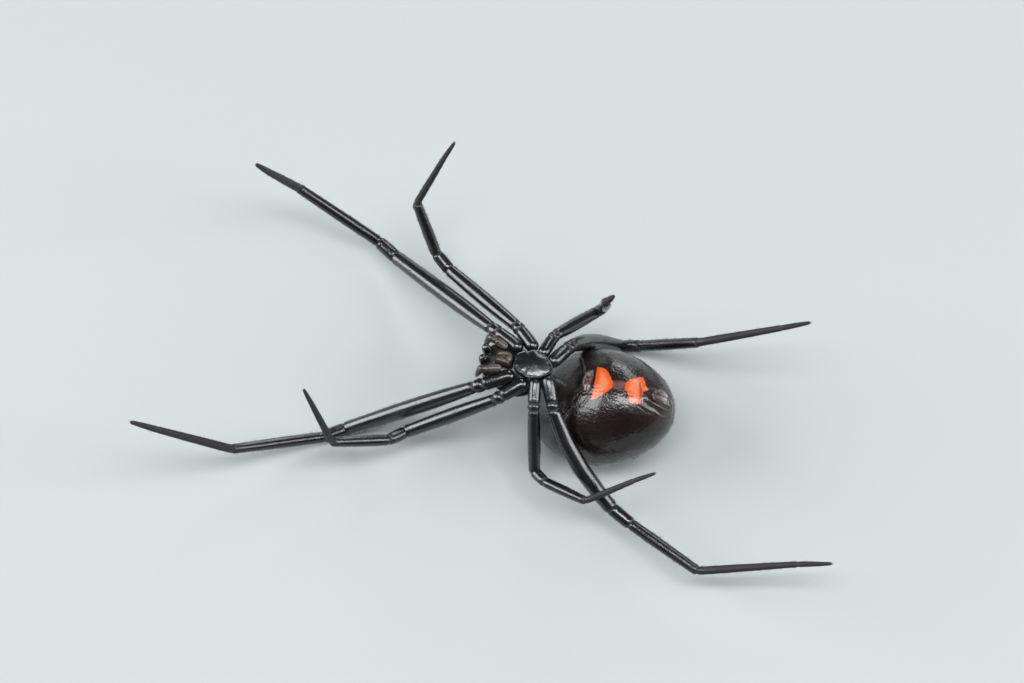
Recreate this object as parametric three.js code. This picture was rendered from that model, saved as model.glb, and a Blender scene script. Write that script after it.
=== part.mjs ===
// Adult female widow spider, life size, lying belly up on its back with its legs spread.
// Millimetres. +X runs to the tail, +Y to the spider's own left, +Z up, which is its belly side.
// The origin is the middle of the flat on which the back of the abdomen rests.
import * as THREE from 'three';

// Driving dimensions
const ABDOMEN = {
  centreX: 1.0, centreZ: 2.92, halfLength: 3.6, halfWidth: 3.0, halfHeight: 2.9,
  tailRise: 0.8, tailTaper: 0.13, bellyTaper: 0.1, frontSlope: 0.22,
};
const CARAPACE = {
  centreX: -3.7, y: 0.1, marginZ: 4.6, halfLength: 1.72, halfWidth: 1.42,
  headWidth: 0.78, backDepth: 1.25, bellyHeight: 0.33,
};
const STERNUM = { bottom: 5.0, top: 6.15 };
const SOLE = 0;            // level of the floor
const GAP = 0.05;          // clearance between two neighbouring solids
const LIMB_SIDES = 8;
const EYE_RADIUS = 0.085;

// Lengths of one leg of each pair, from the body outwards
const LEG_LENGTHS = {
  1: { coxa: 1.35, trochanter: 0.45, femur: 8.15, patella: 1.25, tibia: 5.2, metatarsus: 6.0, tarsus: 2.0 },
  2: { coxa: 1.1, trochanter: 0.4, femur: 5.45, patella: 1.1, tibia: 3.1, metatarsus: 3.95, tarsus: 1.5 },
  3: { coxa: 0.95, trochanter: 0.35, femur: 3.5, patella: 0.9, tibia: 2.5, metatarsus: 2.75, tarsus: 1.15 },
  4: { coxa: 1.05, trochanter: 0.4, femur: 5.8, patella: 1.25, tibia: 4.15, metatarsus: 5.05, tarsus: 1.7 },
};
// Radii at the start, in the middle and at the end of each length
const LEG_RADII = {
  1: { coxa: [0.3, 0.38, 0.36], femur: [0.37, 0.46, 0.4], patella: [0.36, 0.38, 0.34],
       tibia: [0.31, 0.32, 0.29], foot: [0.28, 0.27, 0.27] },
  2: { coxa: [0.3, 0.36, 0.34], femur: [0.34, 0.4, 0.36], patella: [0.33, 0.35, 0.32],
       tibia: [0.31, 0.32, 0.29], foot: [0.28, 0.27, 0.27] },
  3: { coxa: [0.28, 0.33, 0.32], femur: [0.31, 0.35, 0.32], patella: [0.3, 0.31, 0.3],
       tibia: [0.29, 0.3, 0.28], foot: [0.27, 0.27, 0.27] },
  4: { coxa: [0.28, 0.37, 0.35], femur: [0.36, 0.44, 0.4], patella: [0.36, 0.37, 0.34],
       tibia: [0.31, 0.32, 0.29], foot: [0.28, 0.27, 0.27] },
};
const PALP_RADII = { reach: [0.26, 0.27, 0.25], fold: [0.25, 0.26, 0.25] };
// Where each pair leaves the body, and how its first two lengths run from there
const LEG_ROOTS = {
  1: { x: -3.75, out: 0.78, coxa: [150, -12], trochanter: [156, -20] },
  2: { x: -3.05, out: 1.03, coxa: [134, -12], trochanter: [146, -20] },
  3: { x: -2.4, out: 0.86, coxa: [80, -16], trochanter: [72, -25] },
  4: { x: -1.82, out: 0.52, coxa: [66, -18], trochanter: [60, -25] },
};
const ROOT_Z = 5.65;
// Pose: [heading from the tail, rise above level] in degrees. Headings turn towards the spider's
// left in a left leg and towards its right in a right leg.
const POSE = {
  L1: { femur: [147, -27], patella: [151, 0], tibia: [171, 32], metatarsus: [250, 70], tarsus: [224, 70] },
  R1: { femur: [162, -37], patella: [138, 14], tibia: [147, 24], metatarsus: [150, 55], tarsus: [160, 49] },
  L2: { femur: [146, -21], patella: [145, 9], tibia: [134, 50], metatarsus: [50, 64], tarsus: [23, 70] },
  R2: { femur: [158, -34], patella: [130, 22], tibia: [153, 23], metatarsus: [198, 74], tarsus: [185, 78] },
  L3: { femur: [59, -33], patella: [0, 66], tibia: [-70, 74], metatarsus: [-62, 71], tarsus: [-59, 72] },
  R3: { femur: [74, -51], patella: [39, 20], tibia: [18, 18], metatarsus: [-30, 25], tarsus: [-24, 25] },
  L4: { femur: [51.3, -56.5], patella: [0, 38], tibia: [-4, 44], metatarsus: [9, 36], tarsus: [9, 39] },
  R4: { femur: [40, -30], patella: [24, -9], tibia: [23, 3], metatarsus: [-16, 10], tarsus: [-7, 15] },
};
// How far the middle of a femur bows forwards from the line between its ends
const FEMUR_BOW = { 1: 0, 2: 0, 3: 0, 4: 0.35 };

// Looks: the shiny black cuticle, the browner abdomen and the paler mouth
const COLOURS = { cuticle: 0x0b0c0e, abdomen: 0x1c0e0c, mouth: 0x2a1c15, eye: 0x050505 };

const spider = new THREE.Group();

function addPiece(name, geometry, colour, roughness = 0.25) {
  const material = new THREE.MeshStandardMaterial({ color: colour, roughness, metalness: 0 });
  const mesh = new THREE.Mesh(geometry, material);
  mesh.name = name;
  spider.add(mesh);
  return mesh;
}

// Small sums
const radians = THREE.MathUtils.degToRad;

function direction([heading, rise], side = 1) {
  const level = Math.cos(radians(rise));
  return new THREE.Vector3(
    level * Math.cos(radians(heading)),
    level * Math.sin(radians(heading)) * side,
    Math.sin(radians(rise)),
  );
}

function eachVertex(geometry, move) {
  const place = geometry.attributes.position;
  const point = new THREE.Vector3();
  for (let i = 0; i < place.count; i += 1) {
    point.fromBufferAttribute(place, i);
    move(point);
    place.setXYZ(i, point.x, point.y, point.z);
  }
  return geometry;
}

// What lies below the floor is pressed flat against it: the small flats of rest.
function pressOnFloor(geometry) {
  return eachVertex(geometry, (point) => {
    point.z = Math.max(point.z, SOLE);
  });
}

// A round limb from one point to another. It starts flat, just clear of its neighbour, and may end
// in a ball centred on the joint, so that the next length can bend freely round it.
function limb(from, to, radii, { trim = 0, ball = true, bend = null } = {}) {
  const [start, middle, end] = radii;
  const run = new THREE.Vector3().subVectors(to, from);
  const length = run.length();
  const shaft = length - trim;
  const profile = [[0, trim], [start * 0.82, trim], [start, trim + 0.18 * start]];
  for (const part of [0.3, 0.62]) {
    const swell = Math.sin(Math.PI * part);
    const line = THREE.MathUtils.lerp(start, end, part);
    profile.push([line + (middle - (start + end) / 2) * swell, trim + shaft * part]);
  }
  if (ball) {
    profile.push([end, length], [end * 0.75, length + end * 0.66], [0, length + end]);
  } else {
    profile.push([end * 0.95, length - end * 0.5], [end * 0.55, length - 0.05 * end], [0, length]);
  }
  const outline = profile.map(([radius, along]) => new THREE.Vector2(radius, along));
  const geometry = new THREE.LatheGeometry(outline, LIMB_SIDES);
  const turn = new THREE.Quaternion().setFromUnitVectors(
    new THREE.Vector3(0, 1, 0), run.clone().normalize());
  eachVertex(geometry, (point) => {
    const part = THREE.MathUtils.clamp(point.y / length, 0, 1);
    point.applyQuaternion(turn).add(from);
    if (bend) point.addScaledVector(bend.shift, bend.share(part));
  });
  return pressOnFloor(geometry);
}

// A limb of two lengths that meet at a slight angle
function kinkedLimb(from, knee, to, radii, options = {}) {
  const first = knee.distanceTo(from);
  const part = first / (first + to.distanceTo(knee));
  const shift = knee.clone().sub(from.clone().lerp(to, part));
  const share = (along) => Math.min(along / part, (1 - along) / (1 - part));
  return limb(from, to, radii, { ...options, bend: { shift, share } });
}

// How far from a joint the next length starts, so that it clears the ball and the shaft behind it
function jointTrim(before, after, ballRadius, nextRadius) {
  const turn = before.angleTo(after);
  const clear = ballRadius + GAP;
  if (turn <= Math.PI / 2) return clear;
  return (clear + nextRadius * Math.abs(Math.cos(turn))) / Math.sin(turn);
}

// Legs
function addLeg(side, pair) {
  const name = `${side}${pair}`;
  const sign = side === 'L' ? 1 : -1;
  const lengths = LEG_LENGTHS[pair];
  const radii = LEG_RADII[pair];
  const root = LEG_ROOTS[pair];
  const pose = { coxa: root.coxa, trochanter: root.trochanter, ...POSE[name] };
  const joint = { coxa: new THREE.Vector3(root.x, CARAPACE.y + sign * root.out, ROOT_Z) };
  const way = {};
  const order = ['coxa', 'trochanter', 'femur', 'patella', 'tibia', 'metatarsus', 'tarsus', 'tip'];
  for (let i = 0; i < order.length - 1; i += 1) {
    way[order[i]] = direction(pose[order[i]], sign);
    joint[order[i + 1]] = joint[order[i]].clone().addScaledVector(way[order[i]], lengths[order[i]]);
  }
  const black = COLOURS.cuticle;
  addPiece(`leg_${name}_coxa`,
    kinkedLimb(joint.coxa, joint.trochanter, joint.femur, radii.coxa), black);
  const forwards = new THREE.Vector3(-way.femur.y, way.femur.x, 0).normalize().multiplyScalar(sign);
  const bow = {
    shift: forwards.multiplyScalar(FEMUR_BOW[pair]),
    share: (along) => Math.sin(Math.PI * along),
  };
  addPiece(`leg_${name}_femur`, limb(joint.femur, joint.patella, radii.femur, {
    trim: jointTrim(way.trochanter, way.femur, radii.coxa[2], radii.femur[0]), bend: bow }), black);
  addPiece(`leg_${name}_patella`, limb(joint.patella, joint.tibia, radii.patella, {
    trim: jointTrim(way.femur, way.patella, radii.femur[2], radii.patella[0]) }), black);
  addPiece(`leg_${name}_tibia`, limb(joint.tibia, joint.metatarsus, radii.tibia, {
    trim: jointTrim(way.patella, way.tibia, radii.patella[2], radii.tibia[0]) }), black);
  addPiece(`leg_${name}_foot`, kinkedLimb(joint.metatarsus, joint.tarsus, joint.tip, radii.foot, {
    trim: jointTrim(way.tibia, way.metatarsus, radii.tibia[2], radii.foot[0]), ball: false }), black);
}

// Abdomen: an egg with its wide end to the front and its narrow end raised towards the belly
function abdomenPoint(unit) {
  const ring = Math.hypot(unit.y, unit.z) || 1;
  const up = Math.max(0, unit.z / ring);
  const front = Math.max(0, -unit.x);
  const width = ABDOMEN.halfWidth * (1 - ABDOMEN.tailTaper * unit.x);
  const rise = 1 - (unit.z > 0 ? ABDOMEN.frontSlope * front : 0);
  return new THREE.Vector3(
    ABDOMEN.centreX + ABDOMEN.halfLength * unit.x,
    width * unit.y * (1 - ABDOMEN.bellyTaper * (unit.z / ring)),
    ABDOMEN.centreZ + ABDOMEN.tailRise * unit.x + ABDOMEN.halfHeight * unit.z * rise,
  );
}

function addAbdomen() {
  const geometry = new THREE.SphereGeometry(1, 36, 22);
  geometry.rotateZ(Math.PI / 2);
  eachVertex(geometry, (point) => point.copy(abdomenPoint(point)));
  addPiece('abdomen', pressOnFloor(geometry), COLOURS.abdomen, 0.3);
}

function addSpinnerets() {
  const unit = new THREE.Vector3(0.77, 0.06, 0.64).normalize();
  const seat = abdomenPoint(unit);
  const out = new THREE.Vector3(0.62, 0.04, 0.78);
  const from = seat.clone().addScaledVector(out, GAP);
  const to = seat.clone().addScaledVector(out, 0.62);
  addPiece('spinnerets', limb(from, to, [0.42, 0.4, 0.27], { ball: false }), COLOURS.abdomen, 0.4);
}

// Front body: the carapace is the shell of its back, wide behind and narrow at the head
function carapacePoint(unit) {
  const ring = Math.sqrt(Math.max(0, 1 - unit.x * unit.x)) || 1;
  const blunt = unit.x < 0 ? 0.42 : 0.62;
  const full = Math.pow(ring, 2 * blunt - 1);
  const narrow = THREE.MathUtils.lerp(CARAPACE.headWidth, 1, THREE.MathUtils.smoothstep(unit.x, -0.7, 0.15));
  const depth = unit.z < 0 ? CARAPACE.backDepth * (1 - 0.25 * Math.max(0, unit.x)) : CARAPACE.bellyHeight;
  return new THREE.Vector3(
    CARAPACE.centreX + CARAPACE.halfLength * unit.x,
    CARAPACE.y + CARAPACE.halfWidth * narrow * unit.y * full,
    CARAPACE.marginZ + depth * unit.z * full,
  );
}

function addCarapace() {
  const geometry = new THREE.SphereGeometry(1, 24, 16);
  geometry.rotateZ(Math.PI / 2);
  eachVertex(geometry, (point) => point.copy(carapacePoint(point)));
  addPiece('cephalothorax', geometry, COLOURS.cuticle);
}

// Eight eyes in two rows across the front of the head
function addEyes() {
  const rows = [
    { name: 'front', lift: -0.12, places: { median: 0.2, lateral: 0.58 } },
    { name: 'rear', lift: -0.5, places: { median: 0.22, lateral: 0.6 } },
  ];
  for (const row of rows) {
    for (const [place, across] of Object.entries(row.places)) {
      for (const [side, sign] of [['L', 1], ['R', -1]]) {
        const unit = new THREE.Vector3(-0.9, sign * across * 0.62, row.lift).normalize();
        const seat = carapacePoint(unit);
        const inner = new THREE.Vector3(CARAPACE.centreX - 0.9, CARAPACE.y, CARAPACE.marginZ - 0.3);
        const out = seat.clone().sub(inner).normalize();
        const ball = new THREE.SphereGeometry(EYE_RADIUS, 8, 6);
        const eye = addPiece(`eye_${row.name}_${place}_${side}`, ball, COLOURS.eye, 0.05);
        eye.position.copy(seat).addScaledVector(out, EYE_RADIUS + 0.03);
      }
    }
  }
}

// A prism with an outline mirrored across the middle of the front body
function mirroredPrism(half, bottom, top) {
  const outline = new THREE.Shape();
  half.forEach(([x, y], i) => (i ? outline.lineTo(x, CARAPACE.y + y) : outline.moveTo(x, CARAPACE.y + y)));
  [...half].reverse().forEach(([x, y]) => outline.lineTo(x, CARAPACE.y - y));
  const geometry = new THREE.ExtrudeGeometry(outline, { depth: top - bottom, bevelEnabled: false });
  return geometry.translate(0, 0, bottom);
}

function addUnderside() {
  const shield = [[-3.7, 0.42], [-3.3, 0.66], [-2.9, 0.82], [-2.55, 0.8], [-2.15, 0.6], [-1.68, 0.18]];
  addPiece('sternum', mirroredPrism(shield, STERNUM.bottom, STERNUM.top), COLOURS.cuticle);
  const jaws = [[-4.66, 0.3], [-4.3, 0.37], [-3.77, 0.36]];
  addPiece('mouthparts', mirroredPrism(jaws, STERNUM.bottom, STERNUM.top - 0.05), COLOURS.mouth, 0.5);
}

// Jaws, and the palps that reach forward beside the mouth and then fold down in front of the head
function addHeadLimbs(side, sign) {
  const at = (x, out, z) => new THREE.Vector3(x, CARAPACE.y + sign * out, z);
  addPiece(`chelicera_${side}`,
    limb(at(-5.04, 0.3, 4.98), at(-5.28, 0.29, 6.15), [0.27, 0.29, 0.25], { ball: false }),
    COLOURS.cuticle);
  const root = at(-4.4, 0.68, 6.02);
  const bend = at(-5.15, 0.88, 5.95);
  const tip = at(-5.42, 0.86, 4.75);
  const reach = new THREE.Vector3().subVectors(bend, root);
  const fold = new THREE.Vector3().subVectors(tip, bend);
  addPiece(`palp_${side}`, limb(root, bend, PALP_RADII.reach), COLOURS.cuticle);
  const trim = jointTrim(reach, fold, PALP_RADII.reach[2], PALP_RADII.fold[0]);
  addPiece(`palp_${side}_tip`, limb(bend, tip, PALP_RADII.fold, { trim, ball: false }), COLOURS.cuticle);
}

function addPedicel() {
  const from = new THREE.Vector3(-1.93, CARAPACE.y * 0.9, 4.72);
  const to = new THREE.Vector3(-1.32, 0.02, 4.72);
  addPiece('pedicel', limb(from, to, [0.26, 0.28, 0.27], { ball: false }), COLOURS.cuticle);
}

addAbdomen();
addSpinnerets();
addPedicel();
addCarapace();
addUnderside();
addEyes();
for (const [side, sign] of [['L', 1], ['R', -1]]) {
  addHeadLimbs(side, sign);
  for (const pair of [1, 2, 3, 4]) addLeg(side, pair);
}

export default spider;
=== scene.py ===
# %% [markdown]
# # A black widow spider at life size
# The real animal is about 10 mm long without its legs: a round abdomen, a small front body and eight
# thin legs, all in glossy armour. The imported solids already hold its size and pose. Here they are
# loaded first and never changed, and every finer skin is measured from them.

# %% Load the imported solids
import math

import bpy
import numpy as np
from mathutils import Matrix, Vector


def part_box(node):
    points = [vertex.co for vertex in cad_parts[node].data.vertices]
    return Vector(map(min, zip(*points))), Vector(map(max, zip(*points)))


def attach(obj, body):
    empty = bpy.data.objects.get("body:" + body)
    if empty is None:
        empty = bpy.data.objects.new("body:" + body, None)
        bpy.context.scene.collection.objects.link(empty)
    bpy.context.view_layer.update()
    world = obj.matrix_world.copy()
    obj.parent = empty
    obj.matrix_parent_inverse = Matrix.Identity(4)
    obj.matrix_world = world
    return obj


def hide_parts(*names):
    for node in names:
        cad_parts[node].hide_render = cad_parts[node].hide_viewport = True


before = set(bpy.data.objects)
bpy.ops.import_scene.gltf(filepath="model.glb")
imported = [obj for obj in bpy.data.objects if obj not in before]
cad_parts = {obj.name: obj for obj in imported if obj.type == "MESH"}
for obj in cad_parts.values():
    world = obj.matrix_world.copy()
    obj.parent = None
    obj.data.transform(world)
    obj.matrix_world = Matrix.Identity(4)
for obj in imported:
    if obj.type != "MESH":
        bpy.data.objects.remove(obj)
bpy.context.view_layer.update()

MM = 0.001
SIDES = ("L", "R")
PAIRS = (1, 2, 3, 4)
print(f"{len(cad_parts)} solids loaded")

# %% [markdown]
# ## Camera
# The spider lies on its back, so the camera looks steeply down at its belly. A long lens from a
# quarter of a metre away keeps the near and far legs at nearly one scale, as in a macro photograph.
# The three axes are worked out from two angles, and the picture is turned by nothing else.

# %% Camera
PICTURE_WIDTH = 1024
PIXELS_PER_MM = 20
CAMERA_DISTANCE = 250.0
CAMERA_TARGET = np.array([-4.251, 1.744, 4.080])
AZIMUTH, ELEVATION = math.radians(15), math.radians(68)

camera_right = np.array([math.cos(AZIMUTH), math.sin(AZIMUTH), 0])
camera_back = np.array([
    math.sin(AZIMUTH) * math.cos(ELEVATION),
    -math.cos(AZIMUTH) * math.cos(ELEVATION),
    math.sin(ELEVATION),
])
camera_up = np.cross(camera_back, camera_right)
camera_data = bpy.data.cameras.new("macro_camera")
camera = bpy.data.objects.new("macro_camera", camera_data)
bpy.context.scene.collection.objects.link(camera)
camera_data.lens = PIXELS_PER_MM * CAMERA_DISTANCE / PICTURE_WIDTH * camera_data.sensor_width
camera_data.clip_start = 0.01
turn = Matrix(np.column_stack([camera_right, camera_up, camera_back]).tolist())
place = Vector((CAMERA_TARGET + CAMERA_DISTANCE * camera_back) * MM)
camera.matrix_world = Matrix.Translation(place) @ turn.to_4x4()
bpy.context.scene.camera = camera
print(f"lens {camera_data.lens:.1f} mm, camera {place.length:.3f} m from the origin")

# %% [markdown]
# ## Light
# Black armour shows its shape only by what it reflects. A wide, low softbox just above the camera
# draws the broad patch on the belly. Three more stand low round the table, because a leg that slopes
# down to one side shows the lamp on that side as one long white line.

# %% Light
def softbox(name, towards, distance, size, watts, colour):
    """An area light that faces the spider from the given direction."""
    data = bpy.data.lights.new(name, "AREA")
    data.shape = "RECTANGLE"
    data.size, data.size_y = (side * MM for side in size)
    data.energy = watts
    data.color = colour
    lamp = bpy.data.objects.new(name, data)
    bpy.context.scene.collection.objects.link(lamp)
    back = np.array(towards) / np.linalg.norm(towards)
    across = np.cross(camera_up, back)
    across /= np.linalg.norm(across)
    axes = np.column_stack([across, np.cross(back, across), back])
    spot = Vector((CAMERA_TARGET + distance * back) * MM)
    lamp.matrix_world = Matrix.Translation(spot) @ Matrix(axes.tolist()).to_4x4()
    return lamp


ABOVE_CAMERA = camera_back + 0.24 * camera_up + 0.08 * camera_right
SOFTBOXES = {
    "key_softbox": (ABOVE_CAMERA, 200, (170, 50), 0.45, (0.95, 0.97, 1)),
    "left_softbox": ((-0.92, -0.1, 0.42), 220, (240, 130), 0.8, (0.94, 0.98, 1)),
    "right_softbox": ((0.86, 0.12, 0.46), 220, (190, 90), 0.42, (0.96, 0.98, 1)),
    "back_softbox": ((-0.05, 0.95, 0.28), 200, (220, 40), 0.16, (0.92, 0.97, 1)),
}
for name, (towards, distance, size, watts, colour) in SOFTBOXES.items():
    softbox(name, towards, distance, size, watts, colour)

world = bpy.data.worlds.new("studio")
world.use_nodes = True
surround = world.node_tree.nodes["Background"].inputs
surround["Color"].default_value = (0.80, 0.86, 0.88, 1)
surround["Strength"].default_value = 0.09
bpy.context.scene.world = world
bpy.context.scene.view_settings.view_transform = "Standard"
print(f"{len(SOFTBOXES)} softboxes and a faint even light from all round")

# %% [markdown]
# ## Floor
# The museum shelf is one large plain square with a matt, slightly cool paper finish, a hair below the
# feet so that nothing shares its plane.

# %% Floor
FLOOR_HALF = 900
FLOOR_DROP = 1e-6
floor_mesh = bpy.data.meshes.new("floor")
corners = [(-1, -1), (1, -1), (1, 1), (-1, 1)]
corners = [(x * FLOOR_HALF * MM, y * FLOOR_HALF * MM, -FLOOR_DROP) for x, y in corners]
floor_mesh.from_pydata(corners, [], [(0, 1, 2, 3)])
floor = bpy.data.objects.new("floor", floor_mesh)
bpy.context.scene.collection.objects.link(floor)
paper = bpy.data.materials.new("pale_paper")
paper.use_nodes = True
paper_inputs = paper.node_tree.nodes["Principled BSDF"].inputs
paper_inputs["Base Color"].default_value = (0.34, 0.365, 0.36, 1)
paper_inputs["Roughness"].default_value = 0.7
floor_mesh.materials.append(paper)
print(f"floor {2 * FLOOR_HALF * MM:.1f} m wide")

# %% [markdown]
# ## Wiring helpers
# Materials and Geometry Nodes are both graphs of nodes. One short helper adds a node, sets its
# options and joins its inputs, so each graph below reads from top to bottom like a recipe. Another
# starts a node group, a graph with named inputs that other graphs can use as one node.

# %% Helpers that add nodes and start groups
def add(tree, kind, wires=(), **options):
    """Add a node, set its options, then wire a socket or write a value into each named input."""
    made = tree.nodes.new(kind)
    for option, value in options.items():
        setattr(made, option, value)
    for name, value in dict(wires).items():
        inlet = made.inputs[name] if isinstance(name, int) else next(
            s for s in made.inputs if s.name == name and s.enabled)
        if isinstance(value, bpy.types.NodeSocket):
            tree.links.new(value, inlet)
        else:
            inlet.default_value = value
    return made


def math_node(tree, operation, *values):
    """The output of a Math node."""
    return add(tree, "ShaderNodeMath", dict(enumerate(values)), operation=operation).outputs[0]


def group(name, kind, inlets, outlets):
    """A node group with named inputs and outputs, and its two end nodes."""
    tree = bpy.data.node_groups.new(name, kind)
    for way, sockets in (("INPUT", inlets), ("OUTPUT", outlets)):
        for label, (socket_kind, value) in sockets.items():
            socket = tree.interface.new_socket(label, in_out=way, socket_type=f"NodeSocket{socket_kind}")
            if value is not None:
                socket.default_value = value
    start = tree.nodes.new("NodeGroupInput")
    end = tree.nodes.new("NodeGroupOutput")
    return tree, start.outputs, end.inputs


print("node helpers ready")


# %% [markdown]
# ## Grain that several finishes share
# Spider armour is never perfectly smooth: it is finely wrinkled and pitted where the bristles root,
# and this breaks a reflection into small grains. The pattern is one shader group with its own sizes
# for each finish, and it gives out only a height and a mask.

# %% Shared grain group
def grain_group():
    """Wrinkles mixed with pits as a height, and broad patches as a mask."""
    inlets = {
        "Wrinkles per mm": ("Float", 4.0),
        "Pits per mm": ("Float", 8.0),
        "Stretch": ("Float", 1.0),
        "Pit share": ("Float", 0.4),
    }
    outlets = {"Height": ("Float", None), "Patches": ("Float", None)}
    tree, given, out = group("armour_grain", "ShaderNodeTree", inlets, outlets)
    spot = add(tree, "ShaderNodeTexCoord").outputs["Object"]
    scaled = add(tree, "ShaderNodeVectorMath", {0: spot, "Scale": 1 / MM}, operation="SCALE").outputs[0]
    squeeze = add(tree, "ShaderNodeCombineXYZ", {"X": given["Stretch"], "Y": 1.0, "Z": 1.0}).outputs[0]
    drawn = add(tree, "ShaderNodeVectorMath", {0: scaled, 1: squeeze}, operation="MULTIPLY").outputs[0]
    wrinkle = add(tree, "ShaderNodeTexNoise", {
        "Vector": drawn, "Scale": given["Wrinkles per mm"],
        "Detail": 3.0, "Roughness": 0.6, "Distortion": 0.6})
    pits = add(tree, "ShaderNodeTexVoronoi", {
        "Vector": scaled, "Scale": given["Pits per mm"]}, feature="SMOOTH_F1")
    patches = add(tree, "ShaderNodeTexNoise", {"Vector": scaled, "Scale": 0.7, "Detail": 2.0})
    height = add(tree, "ShaderNodeMix", {
        0: given["Pit share"], 2: wrinkle.outputs[0], 3: pits.outputs["Distance"]}, data_type="FLOAT")
    tree.links.new(height.outputs[0], out["Height"])
    tree.links.new(patches.outputs[0], out["Patches"])
    return tree


GRAIN = grain_group()
print(f"grain group with {len(GRAIN.nodes)} nodes")

# %% [markdown]
# ## Finishes
# Each finish is a Principled shader whose colour and roughness vary with the grain group or with a
# value that the mesh carries, such as how near a point is to a joint. What is the same all over a
# finish, such as its gloss coat, is written on the shader itself.

# %% Finish builder
def finish(name, coat=0.0, coat_rough=0.1, specular=0.5, **grain):
    """A material with the grain group in it. Returns the material, its tree, shader and grain node."""
    material = bpy.data.materials.new(name)
    material.use_nodes = True
    tree = material.node_tree
    shader = tree.nodes["Principled BSDF"]
    shader.inputs["Coat Weight"].default_value = coat
    shader.inputs["Coat Roughness"].default_value = coat_rough
    shader.inputs["Specular IOR Level"].default_value = specular
    shared = add(tree, "ShaderNodeGroup", node_tree=GRAIN)
    for label, value in grain.items():
        shared.inputs[label.replace("_", " ").capitalize().replace("Mm", "mm")].default_value = value
    return material, tree, shader, shared.outputs


def attribute(tree, name):
    """A value that the mesh carries."""
    return add(tree, "ShaderNodeAttribute", attribute_name=name).outputs["Fac"]


def blend(tree, amount, low, high):
    """Mix two colours, or a socket and a colour."""
    return add(tree, "ShaderNodeMix", {0: amount, 6: low, 7: high}, data_type="RGBA").outputs[2]


def ramp(tree, value, low, high, to_low=0.0, to_high=1.0):
    """Map a range of a value smoothly to another range."""
    return add(tree, "ShaderNodeMapRange", {
        "Value": value, "From Min": low, "From Max": high, "To Min": to_low, "To Max": to_high},
        interpolation_type="SMOOTHSTEP").outputs[0]


def bump(tree, shader, height, depth_mm):
    """Let a height tilt the surface, with a depth in millimetres."""
    bumped = add(tree, "ShaderNodeBump", {"Height": height, "Distance": depth_mm * MM, "Strength": 1.0})
    tree.links.new(bumped.outputs[0], shader.inputs["Normal"])


def paint(shader, tree, colour, rough):
    """Wire a colour and a roughness into the shader."""
    tree.links.new(colour, shader.inputs["Base Color"])
    tree.links.new(rough, shader.inputs["Roughness"])


print("finish helpers ready")

# %% [markdown]
# ## Leg and shell armour
# This armour is glossy black, with a trace of red where it is thin. The feet are downy and therefore
# matt, and so is the ring of soft skin at each joint, which is a little greyer. Both come from values
# on the mesh, so one material serves legs, jaws, carapace, waist and breast plate alike.

# %% Leg and shell armour
BLACK = (0.0035, 0.0039, 0.0045, 1)
RED_BLACK = (0.0075, 0.0036, 0.0036, 1)
SOFT_GREY = (0.016, 0.013, 0.012, 1)
SHELL_COAT = 0.35
FOOT_START, FOOT_FULL = 0.3, 0.5
DULLNESS = 0.48


def armour_finish():
    """Glossy black armour that is matt on the feet and in the joint rings."""
    material, tree, shader, grain = finish(
        "black_armour", coat_rough=0.14, specular=0.6, wrinkles_per_mm=10.0, pits_per_mm=16.0, pit_share=0.6)
    soft = attribute(tree, "softness")
    thin = attribute(tree, "thinness")
    tint = blend(tree, thin, BLACK, RED_BLACK)
    colour = blend(tree, soft, tint, SOFT_GREY)
    mottled = ramp(tree, grain["Patches"], 0.3, 0.7, 0.22, 0.3)
    downy = ramp(tree, thin, FOOT_START, FOOT_FULL)
    dull = math_node(tree, "MAXIMUM", downy, soft)
    rough = math_node(tree, "MULTIPLY_ADD", dull, DULLNESS, mottled)
    paint(shader, tree, colour, rough)
    tree.links.new(ramp(tree, dull, 0.0, 0.8, SHELL_COAT, 0.0), shader.inputs["Coat Weight"])
    bump(tree, shader, grain["Height"], 0.01)
    return material


ARMOUR = armour_finish()
print("armour finish made")

# %% [markdown]
# ## Measuring the solids
# Each limb solid ends in a ball round the joint to the next one. Cutting a solid with a plane and
# taking the middle of the cut gives a point of its centre line, wherever the limb bends, so the
# skins follow the solids without a list of coordinates.

# %% Centre lines of the limb solids
BALL_RADIUS = 0.3


def triangles(node):
    """The solid's triangles in millimetres, one 3 by 3 block each."""
    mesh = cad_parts[node].data
    mesh.calc_loop_triangles()
    spots = np.empty(len(mesh.vertices) * 3, np.float32)
    mesh.vertices.foreach_get("co", spots)
    corners = np.empty(len(mesh.loop_triangles) * 3, np.int32)
    mesh.loop_triangles.foreach_get("vertices", corners)
    return spots.reshape(-1, 3).astype(float)[corners.reshape(-1, 3)] / MM


def cut_middle(solid, point, axis):
    """Middle and mean radius of the cut across a solid at a point of its axis."""
    height = (solid - point) @ axis
    ends = []
    for a, b in ((0, 1), (1, 2), (2, 0)):
        drop = height[:, a] - height[:, b]
        share = height[:, a] / np.where(drop == 0, 1, drop)
        crossing = solid[:, a] + share[:, None] * (solid[:, b] - solid[:, a])
        crossing[(height[:, a] > 0) == (height[:, b] > 0)] = np.nan
        ends.append(crossing)
    ends = np.array(ends)
    crossed = ~np.isnan(ends[:, :, 0])
    edges = np.array([ends[crossed[:, i], i] for i in np.flatnonzero(crossed.sum(0) == 2)])
    length = np.linalg.norm(edges[:, 0] - edges[:, 1], axis=1) + 1e-9
    middle = (edges.mean(1) * length[:, None]).sum(0) / length.sum()
    spread = np.linalg.norm(edges.mean(1) - middle, axis=1)
    return middle, (spread * length).sum() / length.sum()


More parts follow.
